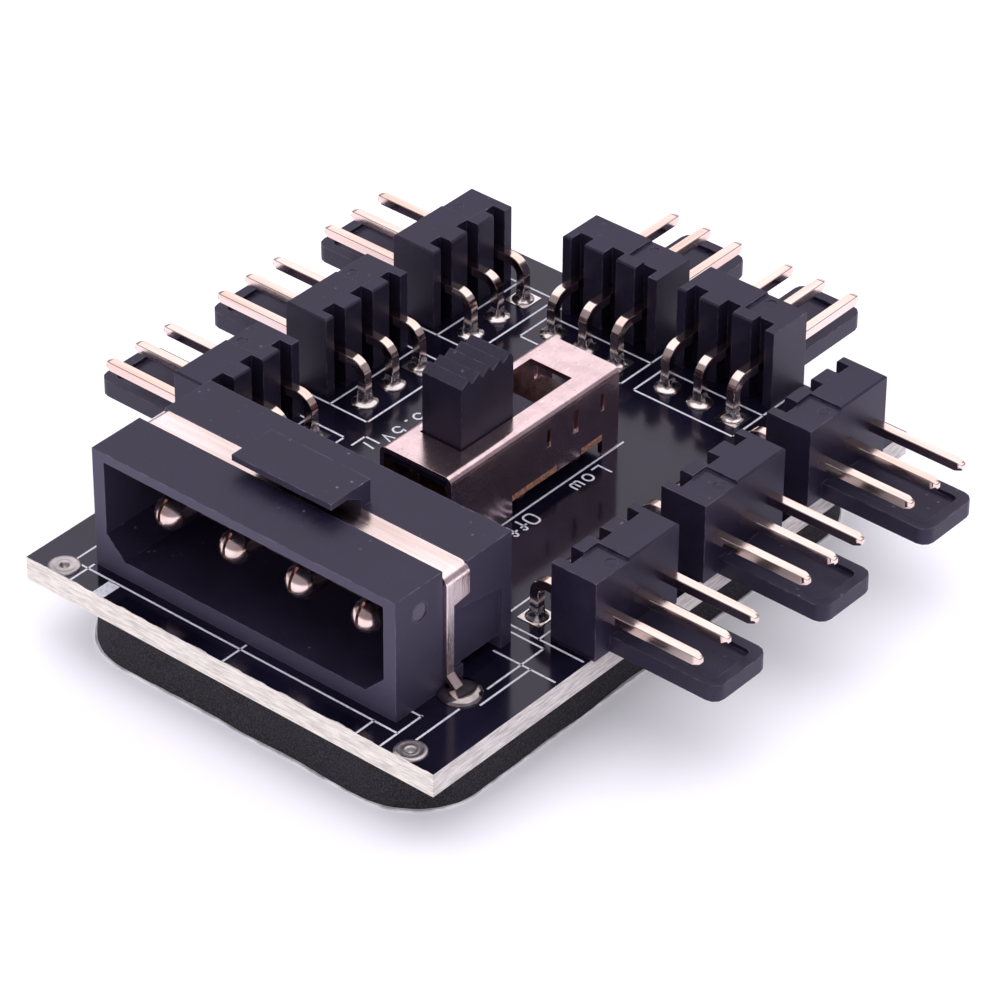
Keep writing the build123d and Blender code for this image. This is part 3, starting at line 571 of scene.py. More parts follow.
def piece_of(name, form, material, body="hub", sharp=SHARP_ANGLE):
    """A finished piece made from a bmesh, smooth but for edges sharper than an angle."""
    mesh = bpy.data.meshes.new(name)
    form.to_mesh(mesh)
    form.free()
    if "custom_normal" in mesh.attributes:
        mesh.attributes.remove(mesh.attributes["custom_normal"])
    mesh.shade_smooth()
    mesh.set_sharp_from_angle(angle=sharp)
    mesh.materials.append(finish(material))
    piece = bpy.data.objects.new(name, mesh)
    bpy.context.scene.collection.objects.link(piece)
    weights = piece.modifiers.new("even normals", "WEIGHTED_NORMAL")
    weights.keep_sharp = True
    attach(piece, body)
    return piece


def replacing(node, name, form, material, sharp=SHARP_ANGLE):
    """A piece made from a bmesh with its faces turned outward, shown in a CAD node's place."""
    bmesh.ops.recalc_face_normals(form, faces=form.faces)
    piece = piece_of(name, form, material, sharp=sharp)
    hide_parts(node)
    return piece


def copy_of(node):
    """A CAD node's shape with its facets joined into whole faces."""
    form = bmesh.new()
    form.from_mesh(nodes[node].data)
    bmesh.ops.remove_doubles(form, verts=form.verts, dist=JOIN_DISTANCE)
    bmesh.ops.dissolve_limit(form, angle_limit=FLAT_ANGLE, verts=form.verts, edges=form.edges)
    return form


def break_edges(form, width, steps):
    """Round every sharp edge."""
    sharp = [edge for edge in form.edges if edge.calc_face_angle(0.0) > SHARP_ANGLE]
    bmesh.ops.bevel(form, geom=sharp, offset=width, segments=steps, profile=0.6,
                    affect="EDGES", clamp_overlap=True)


def dressed(name, node, material, width, body="hub", steps=2):
    """A CAD node with broken edges and its own finish, shown in the node's place."""
    form = copy_of(node)
    break_edges(form, width, steps)
    piece = piece_of(name, form, material, body)
    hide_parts(node)
    return piece


def add_box(form, low, high):
    """A closed box between two corners."""
    middle, size = (low + high) / 2, high - low
    place = Matrix.Translation(middle) @ Matrix.Diagonal((size.x, size.y, size.z, 1.0))
    bmesh.ops.create_cube(form, size=1.0, matrix=place)


def add_loop_skin(form, rings, closed=False):
    """Faces between rings of points, with caps on an open run."""
    made = [[form.verts.new(point) for point in ring] for ring in rings]
    pairs = list(zip(made, made[1:]))
    if closed:
        pairs.append((made[-1], made[0]))
    count = len(made[0])
    for ring, following in pairs:
        for index in range(count):
            after = (index + 1) % count
            form.faces.new((ring[index], ring[after], following[after], following[index]))
    if not closed:
        form.faces.new(made[0][::-1])
        form.faces.new(made[-1])


def add_lathe(form, centre, rings, sides):
    """Rings of (radius, height, squareness) about an upright axis, from round at 0 to square at 1."""
    points = []
    for radius, height, *square in rings:
        share = square[0] if square else 0.0
        ring = []
        for side in range(sides):
            turn = math.tau * (side + 0.5) / sides
            across = max(abs(math.cos(turn)), abs(math.sin(turn)))
            reach = radius * (1.0 - share + share / across)
            ring.append(centre + Vector((reach * math.cos(turn), reach * math.sin(turn), height)) * MM)
        points.append(ring)
    add_loop_skin(form, points)


def corner_cut(width, thickness, cut):
    """A rectangle with its corners cut, as (across, up) in millimetres."""
    x, z = width / 2, thickness / 2
    return [
        (x - cut, -z), (x, -z + cut), (x, z - cut), (x - cut, z),
        (-x + cut, z), (-x, z - cut), (-x, -z + cut), (-x + cut, -z),
    ]


def add_bent_bar(form, place, reach, height, section, bend, point=(0.0, 0.0)):
    """A bar along X from reach to a bend over place, then down to a lead's end, in millimetres."""
    length, taper = point
    stations = [(Vector((reach, 0, height)), 0.0, 1.0 - taper)]
    if length:
        stations.append((Vector((reach - length * 0.12, 0, height)), 0.0, 1.0 - taper * 0.72))
        stations.append((Vector((reach - length, 0, height)), 0.0, 1.0))
    middle = Vector((bend, 0, height - bend))
    for step in range(11):
        turn = math.pi / 2 * step / 10
        stations.append((middle + bend * Vector((-math.sin(turn), 0, math.cos(turn))), turn, 1.0))
    stations.append((Vector((0, 0, LEAD_END)), math.pi / 2, 1.0))
    rings = []
    for point_on_path, turn, size in stations:
        up = Vector((-math.sin(turn), 0, math.cos(turn)))
        ring = [point_on_path + Vector((0, across, 0)) * size + up * rise * size for across, rise in section]
        rings.append([place @ (spot * MM) for spot in ring])
    add_loop_skin(form, rings)


# Board and print

SAWN_EDGE = 0.02 * MM


def build_board():
    """The board, its sawn edges left crisp."""
    dressed("board_panel", "circuit_board", "board", SAWN_EDGE)


# Printed lines on the board, each from (x, y) to (x, y), and a small filled patch
PRINT_LINES = [
    (3.0, 1.53, 27.5, 1.53), (3.56, 0.0, 3.56, 2.0), (2.4, 1.84, 2.4, 6.5), (15.6, 0.0, 15.6, 2.0),
    (25.77, 0.0, 25.77, 1.55), (27.55, 0.0, 27.55, 3.6), (25.8, 3.55, 27.55, 3.55),
    (28.73, 1.74, 28.73, 5.41), (28.73, 7.96, 28.73, 12.87), (26.1, 12.88, 28.73, 12.88),
    (29.4, 6.54, 29.4, 10.9), (26.7, 10.88, 31.2, 10.88), (19.12, 16.0, 19.12, 31.9),
    (6.9, 21.0, 6.9, 22.2), (6.9, 22.2, 8.0, 22.2), (7.3, 21.65, 8.1, 21.55),
]
PRINT_PATCH = ((5.36, 0.02), (6.23, 1.4))

# Rows of the headers' outlines as (inner line, outer line, where the end lines stop)
SIDE_PRINT_ROWS = [(24.98, 27.95, 31.2), (6.0, 2.97, 0.3)]
SIDE_PRINT_STARTS = (13.4, 23.4, 33.4)
SIDE_PRINT_LENGTH = 7.9
REAR_PRINT_ROW = (36.68, 39.65, 43.6)
REAR_PRINT_SPANS = [(6.95, 15.05), (16.05, 23.8)]


def round_letter(half_width, half_height, lift, power, count=24):
    """A closed round letter as (across, up): an ellipse, squarer where power is higher."""
    points = []
    for index in range(count):
        turn = math.tau * index / count
        across, up = math.cos(turn), math.sin(turn)
        across = math.copysign(abs(across) ** (2 / power), across)
        up = math.copysign(abs(up) ** (2 / power), up)
        points.append((half_width * across, lift + half_height * up))
    return points


LETTER_RINGS = {
    "o": round_letter(0.30, 0.35, -0.16, 2.2),
    "O": round_letter(0.37, 0.52, 0.0, 2.8),
}
LETTER_STROKES = {
    "L": [[(-0.28, 0.5), (-0.28, -0.5), (0.3, -0.5)]],
    "w": [
        [(-0.34, 0.12), (-0.34, -0.36), (-0.26, -0.48), (-0.09, -0.48), (0.0, -0.36), (0.0, 0.06)],
        [(0.0, -0.36), (0.09, -0.48), (0.26, -0.48), (0.34, -0.36), (0.34, 0.12)],
    ],
    "5": [[
        (0.26, 0.47), (-0.22, 0.47), (-0.26, 0.08), (0.06, 0.14), (0.26, 0.0), (0.3, -0.2), (0.2, -0.4),
        (0.0, -0.49), (-0.2, -0.44), (-0.3, -0.3),
    ]],
    ".": [[(-0.05, -0.42), (0.05, -0.42)]],
    "V": [[(-0.3, 0.5), (0.0, -0.47), (0.3, 0.5)]],
    "f": [[(0.28, 0.36), (0.2, 0.47), (0.08, 0.47), (0.0, 0.36), (0.0, -0.5)], [(-0.22, 0.1), (0.22, 0.1)]],
}
LABELS = [
    ("Low", 20.03, (28.75, 27.66, 26.62)),
    ("Off", 20.03, (22.19, 21.35, 20.5)),
    ("5.5V", 8.1, (25.9, 25.07, 24.0, 23.0)),
]
LETTER_STROKE = 0.13


def add_stroke(form, points, width, height, closed=False):
    """A printed stroke: a thin mitred ribbon along points in millimetres, kept on the board."""
    spots = [Vector(point) for point in points]
    rings = []
    for index, spot in enumerate(spots):
        first, last = not closed and index == 0, not closed and index == len(spots) - 1
        arrive = (spot - spots[index - 1]).normalized() if not first else (spots[1] - spot).normalized()
        leave = (spots[(index + 1) % len(spots)] - spot).normalized() if not last else arrive
        run = (arrive + leave).normalized()
        across = Vector((-run.y, run.x)) * width / 2 / max(run.dot(leave), 0.5)
        if first or last:
            spot = spot + run * (width / 2 if last else -width / 2)
        ring = []
        for side, level in ((1, 0.0), (1, height), (-1, height), (-1, 0.0)):
            place = spot + across * side
            x = min(max(place.x, 0.03), board_size.x - 0.03)
            y = min(max(place.y, 0.03), board_size.y - 0.03)
            ring.append(on_board(x, y, level))
        rings.append(ring)
    add_loop_skin(form, rings, closed)


def header_print():
    """The outline printed round each header: two lines along it and one at each end."""
    lines = []
    for start in SIDE_PRINT_STARTS:
        end = start + SIDE_PRINT_LENGTH
        for inner, outer, edge in SIDE_PRINT_ROWS:
            lines += [(inner, start, inner, end), (outer, start, outer, end)]
            lines += [(inner, start, edge, start), (inner, end, edge, end)]
    inner, outer, edge = REAR_PRINT_ROW
    for low, high in REAR_PRINT_SPANS:
        lines += [(low, inner, high, inner), (low, outer, high, outer)]
        lines += [(low, inner, low, edge), (high, inner, high, edge)]
    return lines


def add_letter(form, letter, row, middle, height):
    """One letter of a label, its strokes or its ring, read from the board's right side."""
    runs = [(stroke, False) for stroke in LETTER_STROKES.get(letter, [])]
    if letter in LETTER_RINGS:
        runs.append((LETTER_RINGS[letter], True))
    for points, closed in runs:
        places = [(row + up, middle - across) for across, up in points]
        add_stroke(form, places, LETTER_STROKE, height, closed)


def build_print(settings):
    """All the printed lines and the switch labels."""
    form = bmesh.new()
    width, height = settings.line_width / MM, settings.ink_height / MM
    for x_start, y_start, x_end, y_end in PRINT_LINES + header_print():
        add_stroke(form, [(x_start, y_start), (x_end, y_end)], width, height)
    add_box(form, on_board(*PRINT_PATCH[0]), on_board(*PRINT_PATCH[1], height))
    for word, row, middles in LABELS:
        for letter, middle in zip(word, middles):
            add_letter(form, letter, row, middle, height)
    bmesh.ops.recalc_face_normals(form, faces=form.faces)
    piece_of("board_print", form, "ink")


# Pad

PAD_CORNER = 4.7 * MM
OUTLINE_POINTS = 420
FOAM_LEVELS = 9
FOAM_SQUEEZE = 0.09 * MM
FOAM_RIPPLE = 0.03 * MM
LINER_RAGGED = 0.14 * MM
FILM_RAGGED = 0.10 * MM
TORN_SHARE = 0.35


def pad_outline(low, high, wander):
    """The pad's rounded outline in metres, each point moved inward by wander(place along it)."""
    middle = (low + high) / 2
    half = (high - low) / 2
    points = []
    for index in range(OUTLINE_POINTS):
        turn = math.tau * index / OUTLINE_POINTS
        ray = Vector((math.cos(turn), math.sin(turn), 0))
        spot = ray * min(half.x / max(abs(ray.x), 1e-9), half.y / max(abs(ray.y), 1e-9))
        core_x, core_y = half.x - PAD_CORNER, half.y - PAD_CORNER
        if abs(spot.x) > core_x and abs(spot.y) > core_y:
            core = Vector((math.copysign(core_x, spot.x), math.copysign(core_y, spot.y), 0))
            spot = core + (spot - core).normalized() * PAD_CORNER
        spot -= spot.normalized() * wander(spot, index)
        points.append(Vector((middle.x + spot.x, middle.y + spot.y, 0)))
    return points


def build_foam(settings):
    """The foam pad: a wavy cut edge outside, and the CAD solid's pockets for the leads inside."""
    low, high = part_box("foam_pad")
    form = bmesh.new()
    rings = []
    for level in range(FOAM_LEVELS):
        share = level / (FOAM_LEVELS - 1)
        height = low.z + (high.z - low.z) * share
        squeeze = FOAM_SQUEEZE * math.sin(math.pi * share)

        def wander(spot, index):
            seat = Vector((spot.x, spot.y, height)) / MM
            slow = noise.noise(seat * 0.22 + Vector((settings.seed, 0, 0)))
            fast = noise.noise(seat * 1.7 + Vector((0, settings.seed, 0)))
            return settings.wave * (0.9 + slow) + squeeze + FOAM_RIPPLE * fast

        ring = pad_outline(low, high, wander)
        rings.append([Vector((spot.x, spot.y, height)) for spot in ring])
    add_loop_skin(form, rings)
    keep_inside(replacing("foam_pad", "foam_block", form, "foam"), "foam_pad")


def keep_inside(piece, node):
    """Cut a piece to the space that a CAD node fills, pockets and all, and make the cut final."""
    cut = piece.modifiers.new("pockets", "BOOLEAN")
    cut.operation = "INTERSECT"
    cut.solver = "EXACT"
    cut.object = nodes[node]
    piece.modifiers.move(len(piece.modifiers) - 1, 0)
    bpy.context.view_layer.update()
    evaluated = piece.evaluated_get(bpy.context.evaluated_depsgraph_get())
    mesh = bpy.data.meshes.new_from_object(evaluated)
    mesh.materials.clear()
    mesh.materials.append(piece.data.materials[0])
    piece.modifiers.remove(cut)
    piece.data = mesh


def build_sheet(name, node, material, ragged, seed):
    """A thin sheet with a torn, wandering edge, inside a CAD node's outline."""
    low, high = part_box(node)
    picker = random.Random(seed)
    tears = [picker.uniform(0.0, 1.0) ** 3 for _ in range(OUTLINE_POINTS)]

    def wander(spot, index):
        seat = Vector((spot.x, spot.y, 0)) / MM
        slow = 0.5 + 0.5 * noise.noise(seat * 0.35 + Vector((0, 0, seed)))
        torn = (tears[index] + tears[index - 1]) / 2
        return ragged * ((1 - TORN_SHARE) * slow + TORN_SHARE * torn)

    form = bmesh.new()
    ring = pad_outline(low, high, wander)
    rings = [[Vector((spot.x, spot.y, height)) for spot in ring] for height in (low.z, high.z)]
    add_loop_skin(form, rings)
    return replacing(node, name, form, material)


# Power inlet

# Along Y from the inlet's front, in millimetres
NOSE_FRONT = 1.3
NOSE_LENGTH = 1.1
NOSE_SPLIT = 0.75
PIN_SEAT = 6.4
NECK_REAR = 7.3
TAIL_START = 7.1
LEAD_Y = 8.15

# Other sizes of a power pin, in millimetres
POWER_PIN_RADIUS = 1.05
POWER_PIN_RISE = 4.3
SLEEVE_WALL = 0.3
SLEEVE_SLIT = math.radians(5)
NOSE_SEAM = -0.1
NECK_RADIUS = 0.85
LEAD_END = -2.3
TAIL_WIDTH, TAIL_THICKNESS = 1.4, 0.6
TAIL_CORNER = 0.06
TAIL_BEND = 0.8

# The middle of the rubbed spot, in millimetres on the board
RUBBED_SPOT = (26.85, 4.25, 6.6)


def build_power_housing(settings):
    """The inlet moulding, with its edges broken."""
    dressed("inlet_moulding", "power_housing", "inlet", settings.edge_break)


def nose_reach(share):
    """Radius of a bullet nose as a share of the pin's, at a share of the nose's length."""
    return math.sqrt(max(0.0, 1.0 - (1.0 - share) ** 2.3))


def add_nose_half(form, axis, side, settings):
    """One half of a split nose, flat along the split."""
    edge, sides = side * NOSE_SEAM + settings.nose_gap / MM / 2, 16
    rings = []
    for step in range(settings.nose_steps + 1):
        share = 0.03 + (NOSE_SPLIT / NOSE_LENGTH - 0.03) * (step / settings.nose_steps) ** 1.4
        reach = POWER_PIN_RADIUS * nose_reach(share)
        limit = math.acos(max(-1.0, min(1.0, edge / reach)))
        ring = []
        for index in range(sides + 1):
            turn = limit * (2 * index / sides - 1)
            across, rise = side * max(reach * math.cos(turn), edge), reach * math.sin(turn)
            ring.append(axis + Vector((across, NOSE_FRONT + share * NOSE_LENGTH, rise)) * MM)
        rings.append(ring)
    add_loop_skin(form, rings)


def add_sleeve(form, axis):
    """The rolled tube behind the nose, open along a seam on top and closed at its front."""
    split_share = NOSE_SPLIT / NOSE_LENGTH
    nose_rear = NOSE_FRONT + NOSE_LENGTH
    bore = POWER_PIN_RADIUS - SLEEVE_WALL
    profile = [(0.02, NOSE_FRONT + NOSE_SPLIT)]
    for step in range(5):
        share = split_share + (1.0 - split_share) * step / 4
        profile.append((POWER_PIN_RADIUS * nose_reach(share), NOSE_FRONT + share * NOSE_LENGTH))
    profile += [(POWER_PIN_RADIUS, PIN_SEAT), (bore, PIN_SEAT), (bore, nose_rear), (0.02, nose_rear)]
    rings = []
    steps = 44
    for step in range(steps + 1):
        turn = math.pi / 2 + SLEEVE_SLIT + (math.tau - 2 * SLEEVE_SLIT) * step / steps
        ray = Vector((math.cos(turn), 0, math.sin(turn)))
        rings.append([axis + (ray * reach + Vector((0, place, 0))) * MM for reach, place in profile])
    add_loop_skin(form, rings)


def add_neck(form, axis):
    """The part of a pin that passes through the housing's wall."""
    profile = [(0.3, PIN_SEAT - 0.2), (NECK_RADIUS, PIN_SEAT - 0.1), (NECK_RADIUS, NECK_REAR - 0.05),
               (0.3, NECK_REAR)]
    turns = [math.tau * side / 24 for side in range(24)]
    rings = [[axis + Vector((reach * math.cos(turn), place, reach * math.sin(turn))) * MM for turn in turns]
             for reach, place in profile]
    add_loop_skin(form, rings)


def build_power_pin(index, settings):
    """One rolled pin: a split bullet nose, a seamed tube, its neck and its bent flat tail."""
    node = f"power_pin_{index}"
    low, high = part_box(node)
    row = (low.x + high.x) / 2
    inlet_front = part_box("power_housing")[0].y
    axis = Vector((row, inlet_front, corner.z + POWER_PIN_RISE * MM))
    form = bmesh.new()
    for side in (-1, 1):
        add_nose_half(form, axis, side, settings)
    add_sleeve(form, axis)
    add_neck(form, axis)
    lead = Vector((row, inlet_front + LEAD_Y * MM, corner.z))
    tail = Matrix.Translation(lead) @ Matrix.Rotation(-math.pi / 2, 4, "Z")
    section = corner_cut(TAIL_WIDTH, TAIL_THICKNESS, TAIL_CORNER)
    add_bent_bar(form, tail, LEAD_Y - TAIL_START, POWER_PIN_RISE, section, TAIL_BEND)
    replacing(node, f"inlet_pin_{index}", form, "power pin")


def build_strap(settings):
    """The folded tin strap, its edges rounded."""
    dressed("inlet_strap", "power_strap", "strap", settings.edge_break, steps=3)


# Fan headers

HEADER_PITCH = 2.54
HEADER_PIN = 0.64
HEADER_PIN_CORNER = 0.035
HEADER_PIN_RISE = 2.73
HEADER_PIN_BEND = 0.9
HEADER_PIN_POINT = (0.45, 0.53)


def header_names():
    """Every fan header with its row's name."""
    return [(row, f"{row}_header_{index + 1}") for row, count in HEADERS.items() for index in range(count)]


def header_frame(row, header):
    """A header's frame, on the board under its middle pin's leg with X outward, and the pin's reach."""
    low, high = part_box(f"{header}_pin_2")
    out = OUTWARD[row]
    across = Vector((-out.y, out.x, 0))
    middle = (low + high) / 2
    length = abs((high - low).dot(out))
    leg_centre = middle - out * (length / 2 - HEADER_PIN / 2 * MM)
    place = Matrix((
        (out.x, across.x, 0, leg_centre.x),
        (out.y, across.y, 0, leg_centre.y),
        (0, 0, 1, corner.z),
        (0, 0, 0, 1),
    ))
    return place, length / MM - HEADER_PIN / 2


def pin_offset(index):
    """How far a header's pin stands from its middle one, in millimetres."""
    return (index - 1) * HEADER_PITCH


def build_header_pins(row, header):
    """The three pins of a header, each square, pointed and bent down."""
    place, reach = header_frame(row, header)
    section = corner_cut(HEADER_PIN, HEADER_PIN, HEADER_PIN_CORNER)
    material = "rear pin" if row == "rear" else "pin"
    for index in range(PINS_PER_HEADER):
        form = bmesh.new()
        at = place @ Matrix.Translation(Vector((0, pin_offset(index), 0)) * MM)
        add_bent_bar(form, at, reach, HEADER_PIN_RISE, section, HEADER_PIN_BEND, HEADER_PIN_POINT)
        replacing(f"{header}_pin_{index + 1}", f"{header}_lead_{index + 1}", form, material)


def build_header_housing(header, settings):
    """One header moulding with its tab."""
    width = settings.edge_break * 0.8
    dressed(f"{header}_moulding", f"{header}_housing", "housing", width)


# Solder

# Rings of joints as (radius, height), with the squareness of the ones that turn square
HEADER_JOINT = [
    (0.3, -2.15), (0.46, -2.1), (0.62, -1.95), (0.85, -1.62), (0.5, -1.6), (0.5, 0.0),
]
HEADER_CONE = [
    (0.84, 0.0), (0.92, 0.02), (0.91, 0.07), (0.84, 0.13), (0.72, 0.19), (0.60, 0.26, 0.1),
    (0.50, 0.35, 0.3), (0.43, 0.47, 0.55), (0.385, 0.62, 0.8), (0.355, 0.78, 1.0), (0.328, 0.92, 1.0),
    (0.02, 0.93),
]
PIN_JOINT = [
    (0.7, -2.1), (1.1, -1.65), (1.1, -1.6), (0.8, -1.6), (0.8, 0.0), (0.9, 0.02), (0.84, 0.2), (0.7, 0.58),
    (0.02, 0.6),
]
STRAP_JOINT = [(0.3, -2.1), (0.6, -1.65), (0.6, -1.6), (0.39, -1.6), (0.39, 0.02)]
SWITCH_JOINT = [
    (0.3, -2.1), (0.5, -2.0), (0.85, -1.63), (0.85, -1.6), (0.4, -1.6), (0.4, 0.03), (0.02, 0.04),
]
CONE_NECK = 0.328
CONE_FOOT = 0.9
SQUARE_PAD_CONE_FOOT = 0.68
SQUARE_PAD = 1.64
SQUARE_PAD_HEIGHT = 0.05
DOME_RADIUS = 1.36
DOME_HEIGHT = 0.40
DOME_OUT = 0.95
STRAP_FOOT = 0.33
SOLDER_SEED = 5


def build_header_solder(row, picker):
    """The joints of one row of headers: hollow-sided cones, the first on a square pad."""
    form = bmesh.new()
    for name in [header for owner, header in header_names() if owner == row]:
        place = header_frame(row, name)[0]
        for index in range(PINS_PER_HEADER):
            spot = place @ (Vector((0, pin_offset(index), 0)) * MM)
            lift = picker.uniform(0.9, 1.0)
            foot = SQUARE_PAD_CONE_FOOT if index == 0 else CONE_FOOT
            cone = [(CONE_NECK + (reach - CONE_NECK) * foot, height * lift, *square)
                    for reach, height, *square in HEADER_CONE]
            add_lathe(form, spot, cone, sides=40)
            add_lathe(form, spot, HEADER_JOINT, sides=20)
            if index == 0:
                half = Vector((SQUARE_PAD / 2, SQUARE_PAD / 2, 0)) * MM
                add_box(form, spot - half, spot + half + Vector((0, 0, SQUARE_PAD_HEIGHT)) * MM)
    replacing(f"{row}_header_solder", f"{row}_joints", form, "solder", sharp=SOLDER_SHARP_ANGLE)


def strap_domes(form):
    """The rounded solder over each foot of the strap, flat where it meets the housing."""
    housing_low, housing_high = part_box("power_housing")
    foot_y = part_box("power_strap")[0].y + STRAP_FOOT * MM
    for side, wall in ((-1, housing_low.x), (1, housing_high.x)):
        spot = Vector((wall + side * DOME_OUT * MM, foot_y, corner.z))
        turns = [math.pi / 2 * step / 9.5 for step in range(10)]
        dome = [(DOME_RADIUS * math.cos(turn) ** 0.6, DOME_HEIGHT * math.sin(turn)) for turn in turns]
        body = bmesh.new()
        add_lathe(body, spot, dome, sides=40)
        for vert in body.verts:
            if (wall - vert.co.x) * side > 0:
                vert.co.x = wall
        merge(form, body)
        add_lathe(form, spot, STRAP_JOINT, sides=20)


def build_power_solder():
    """The domes over the strap's feet and the joints of the power pins."""
    form = bmesh.new()
    strap_domes(form)
    for index in range(POWER_PINS):
        pin_low, pin_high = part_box(f"power_pin_{index + 1}")
        tail_y = pin_high.y - TAIL_THICKNESS / 2 * MM
        spot = Vector(((pin_low.x + pin_high.x) / 2, tail_y, corner.z))
        add_lathe(form, spot, PIN_JOINT, sides=24)
    replacing("power_solder", "inlet_joints", form, "flux solder", sharp=SOLDER_SHARP_ANGLE)


def merge(form, other):
    """Add one bmesh to another."""
    mesh = bpy.data.meshes.new("part")
    other.to_mesh(mesh)
    other.free()
    form.from_mesh(mesh)
    bpy.data.meshes.remove(mesh)


CORNER_PAD = [
    (0.5, -1.6), (0.5, 0.0), (1.0, 0.0), (1.0, 0.04), (0.93, 0.09), (0.83, 0.13), (0.72, 0.12), (0.60, 0.085),
    (0.50, 0.10), (0.40, 0.12), (0.31, 0.10), (0.22, 0.0), (0.14, -0.12), (0.02, -0.18),
]
CORNER_PAD_RADIUS = 1.0
CORNER_PAD_Y = 0.8


def build_edge_pads():
    """The two ring pads at the front corners, dished in the middle and flush with the board's edge."""
    low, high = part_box("edge_pads")
    form = bmesh.new()
    for x in (low.x + CORNER_PAD_RADIUS * MM, high.x - CORNER_PAD_RADIUS * MM):
        spot = Vector((x, board_low.y + CORNER_PAD_Y * MM, corner.z))
        add_lathe(form, spot, CORNER_PAD, sides=36)
    for vert in form.verts:
        vert.co.y = max(vert.co.y, board_low.y)
    replacing("edge_pads", "corner_pads", form, "dull solder", sharp=SOLDER_SHARP_ANGLE)


def build_switch_solder():
    """The joints under the switch's terminals."""
    form = bmesh.new()
    for side in ("left", "right"):
        for index in range(TERMINALS_PER_SIDE):
            low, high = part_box(f"switch_terminal_{side}_{index + 1}")
            spot = Vector(((low.x + high.x) / 2, (low.y + high.y) / 2, corner.z))
            add_lathe(form, spot, SWITCH_JOINT, sides=20)
    replacing("switch_solder", "switch_joints", form, "solder", sharp=SOLDER_SHARP_ANGLE)


# Switch

RESIN_EDGE = 0.04 * MM
BRIDGE_EDGE = 0.02 * MM
TERMINAL_EDGE = 0.03 * MM


def build_switch(plastic, metal):
    """Cover, base, terminals, lever and contact bridges."""
    dressed("switch_shell", "switch_cover", "nickel", metal.edge_break)
    dressed("switch_resin", "switch_base", "resin", RESIN_EDGE)
    dressed("switch_grip", "switch_lever", "lever", plastic.edge_break * 0.6, "slider")
    for side in ("left", "right"):
        dressed(f"switch_clip_{side}", f"switch_bridge_{side}", "contact", BRIDGE_EDGE, "slider")
        for index in range(TERMINALS_PER_SIDE):
            node = f"switch_terminal_{side}_{index + 1}"
            dressed(f"switch_blade_{side}_{index + 1}", node, "contact", TERMINAL_EDGE)


# Stage

FLOOR_GLOW = 0.16
SKY_TONE = (0.95, 0.93, 1.0, 1.0)
REFLECTED_TONE = (0.30, 0.28, 0.32, 1.0)
WHITE = (1.0, 1.0, 1.0, 1.0)
LAMP_PLACE = Vector((-0.15, 0.3, 1.0))
LAMP_SIZE = 2.0


def build_floor(settings):
    """A plain pale floor that stays white where no shadow falls."""
    form = bmesh.new()
    bmesh.ops.create_grid(form, x_segments=1, y_segments=1, size=2.0)
    mesh = bpy.data.meshes.new("floor")
    form.to_mesh(mesh)
    form.free()
    floor = bpy.data.objects.new("floor", mesh)
    bpy.context.scene.collection.objects.link(floor)
    made = bpy.data.materials.new("pale floor")
    made.use_nodes = True
    tree = made.node_tree
    tree.nodes.clear()
    matte = add_node(tree, "ShaderNodeBsdfDiffuse", {"Color": rgba(settings.floor_tone)})
    light = add_node(tree, "ShaderNodeLightPath")
    share = calc(tree, "MULTIPLY", light.outputs["Is Camera Ray"], FLOOR_GLOW)
    glow = add_node(tree, "ShaderNodeEmission", {"Strength": share})
    both = add_node(tree, "ShaderNodeAddShader", {0: matte.outputs[0], 1: glow.outputs[0]})
    add_node(tree, "ShaderNodeOutputMaterial", {"Surface": both.outputs[0]})
    mesh.materials.append(made)


def build_world():
    """White where the camera looks, a soft sky that lights the hub, and a dim one in reflections."""
    world = bpy.data.worlds.new("studio")
    bpy.context.scene.world = world
    world.use_nodes = True
    tree = world.node_tree
    tree.nodes.clear()
    light = add_node(tree, "ShaderNodeLightPath")
    soft = mixed(tree, light.outputs["Is Glossy Ray"], SKY_TONE, REFLECTED_TONE)
    tone = mixed(tree, light.outputs["Is Camera Ray"], soft, WHITE)
    sky = add_node(tree, "ShaderNodeBackground", {"Color": tone, "Strength": 1.0})
    add_node(tree, "ShaderNodeOutputWorld", {"Surface": sky.outputs[0]})


def build_lamp(settings):
    """A large soft square lamp overhead that looks at the hub."""
    light = bpy.data.lights.new("top lamp", "AREA")
    light.size = LAMP_SIZE
    light.energy = settings.lamp_power
    lamp = bpy.data.objects.new("top lamp", light)
    lamp.location = LAMP_PLACE
    lamp.rotation_euler = (-LAMP_PLACE).to_track_quat("-Z", "Y").to_euler()
    bpy.context.scene.collection.objects.link(lamp)


def build_camera(settings):
    """A long lens at the photograph's angle, rolled a little."""
    azimuth, elevation, roll = settings.azimuth, settings.elevation, settings.roll
    back = Vector((
        math.sin(azimuth) * math.cos(elevation),
        -math.cos(azimuth) * math.cos(elevation),
        math.sin(elevation),
    ))
    level = Vector((math.cos(azimuth), math.sin(azimuth), 0))
    above = back.cross(level)
    right = level * math.cos(roll) + above * math.sin(roll)
    up = above * math.cos(roll) - level * math.sin(roll)
    place = Vector(settings.aim) + back * settings.distance
    data = bpy.data.cameras.new("camera")
    data.lens = settings.lens
    data.sensor_width = 36.0
    data.clip_start = 0.01
    data.clip_end = 20.0
    camera = bpy.data.objects.new("camera", data)
    turn = Matrix((right, up, back)).transposed().to_4x4()
    camera.matrix_world = Matrix.Translation(place) @ turn
    bpy.context.scene.collection.objects.link(camera)
    bpy.context.scene.camera = camera


# Operators

class BoardOperator(bpy.types.Operator):
    """Show the circuit board with its mask and sawn edges"""

    bl_idname = "fan_hub.board"
    bl_label = "Board"
    bl_options = {"REGISTER", "UNDO"}

    def execute(self, context):
        build_board()
        return {"FINISHED"}


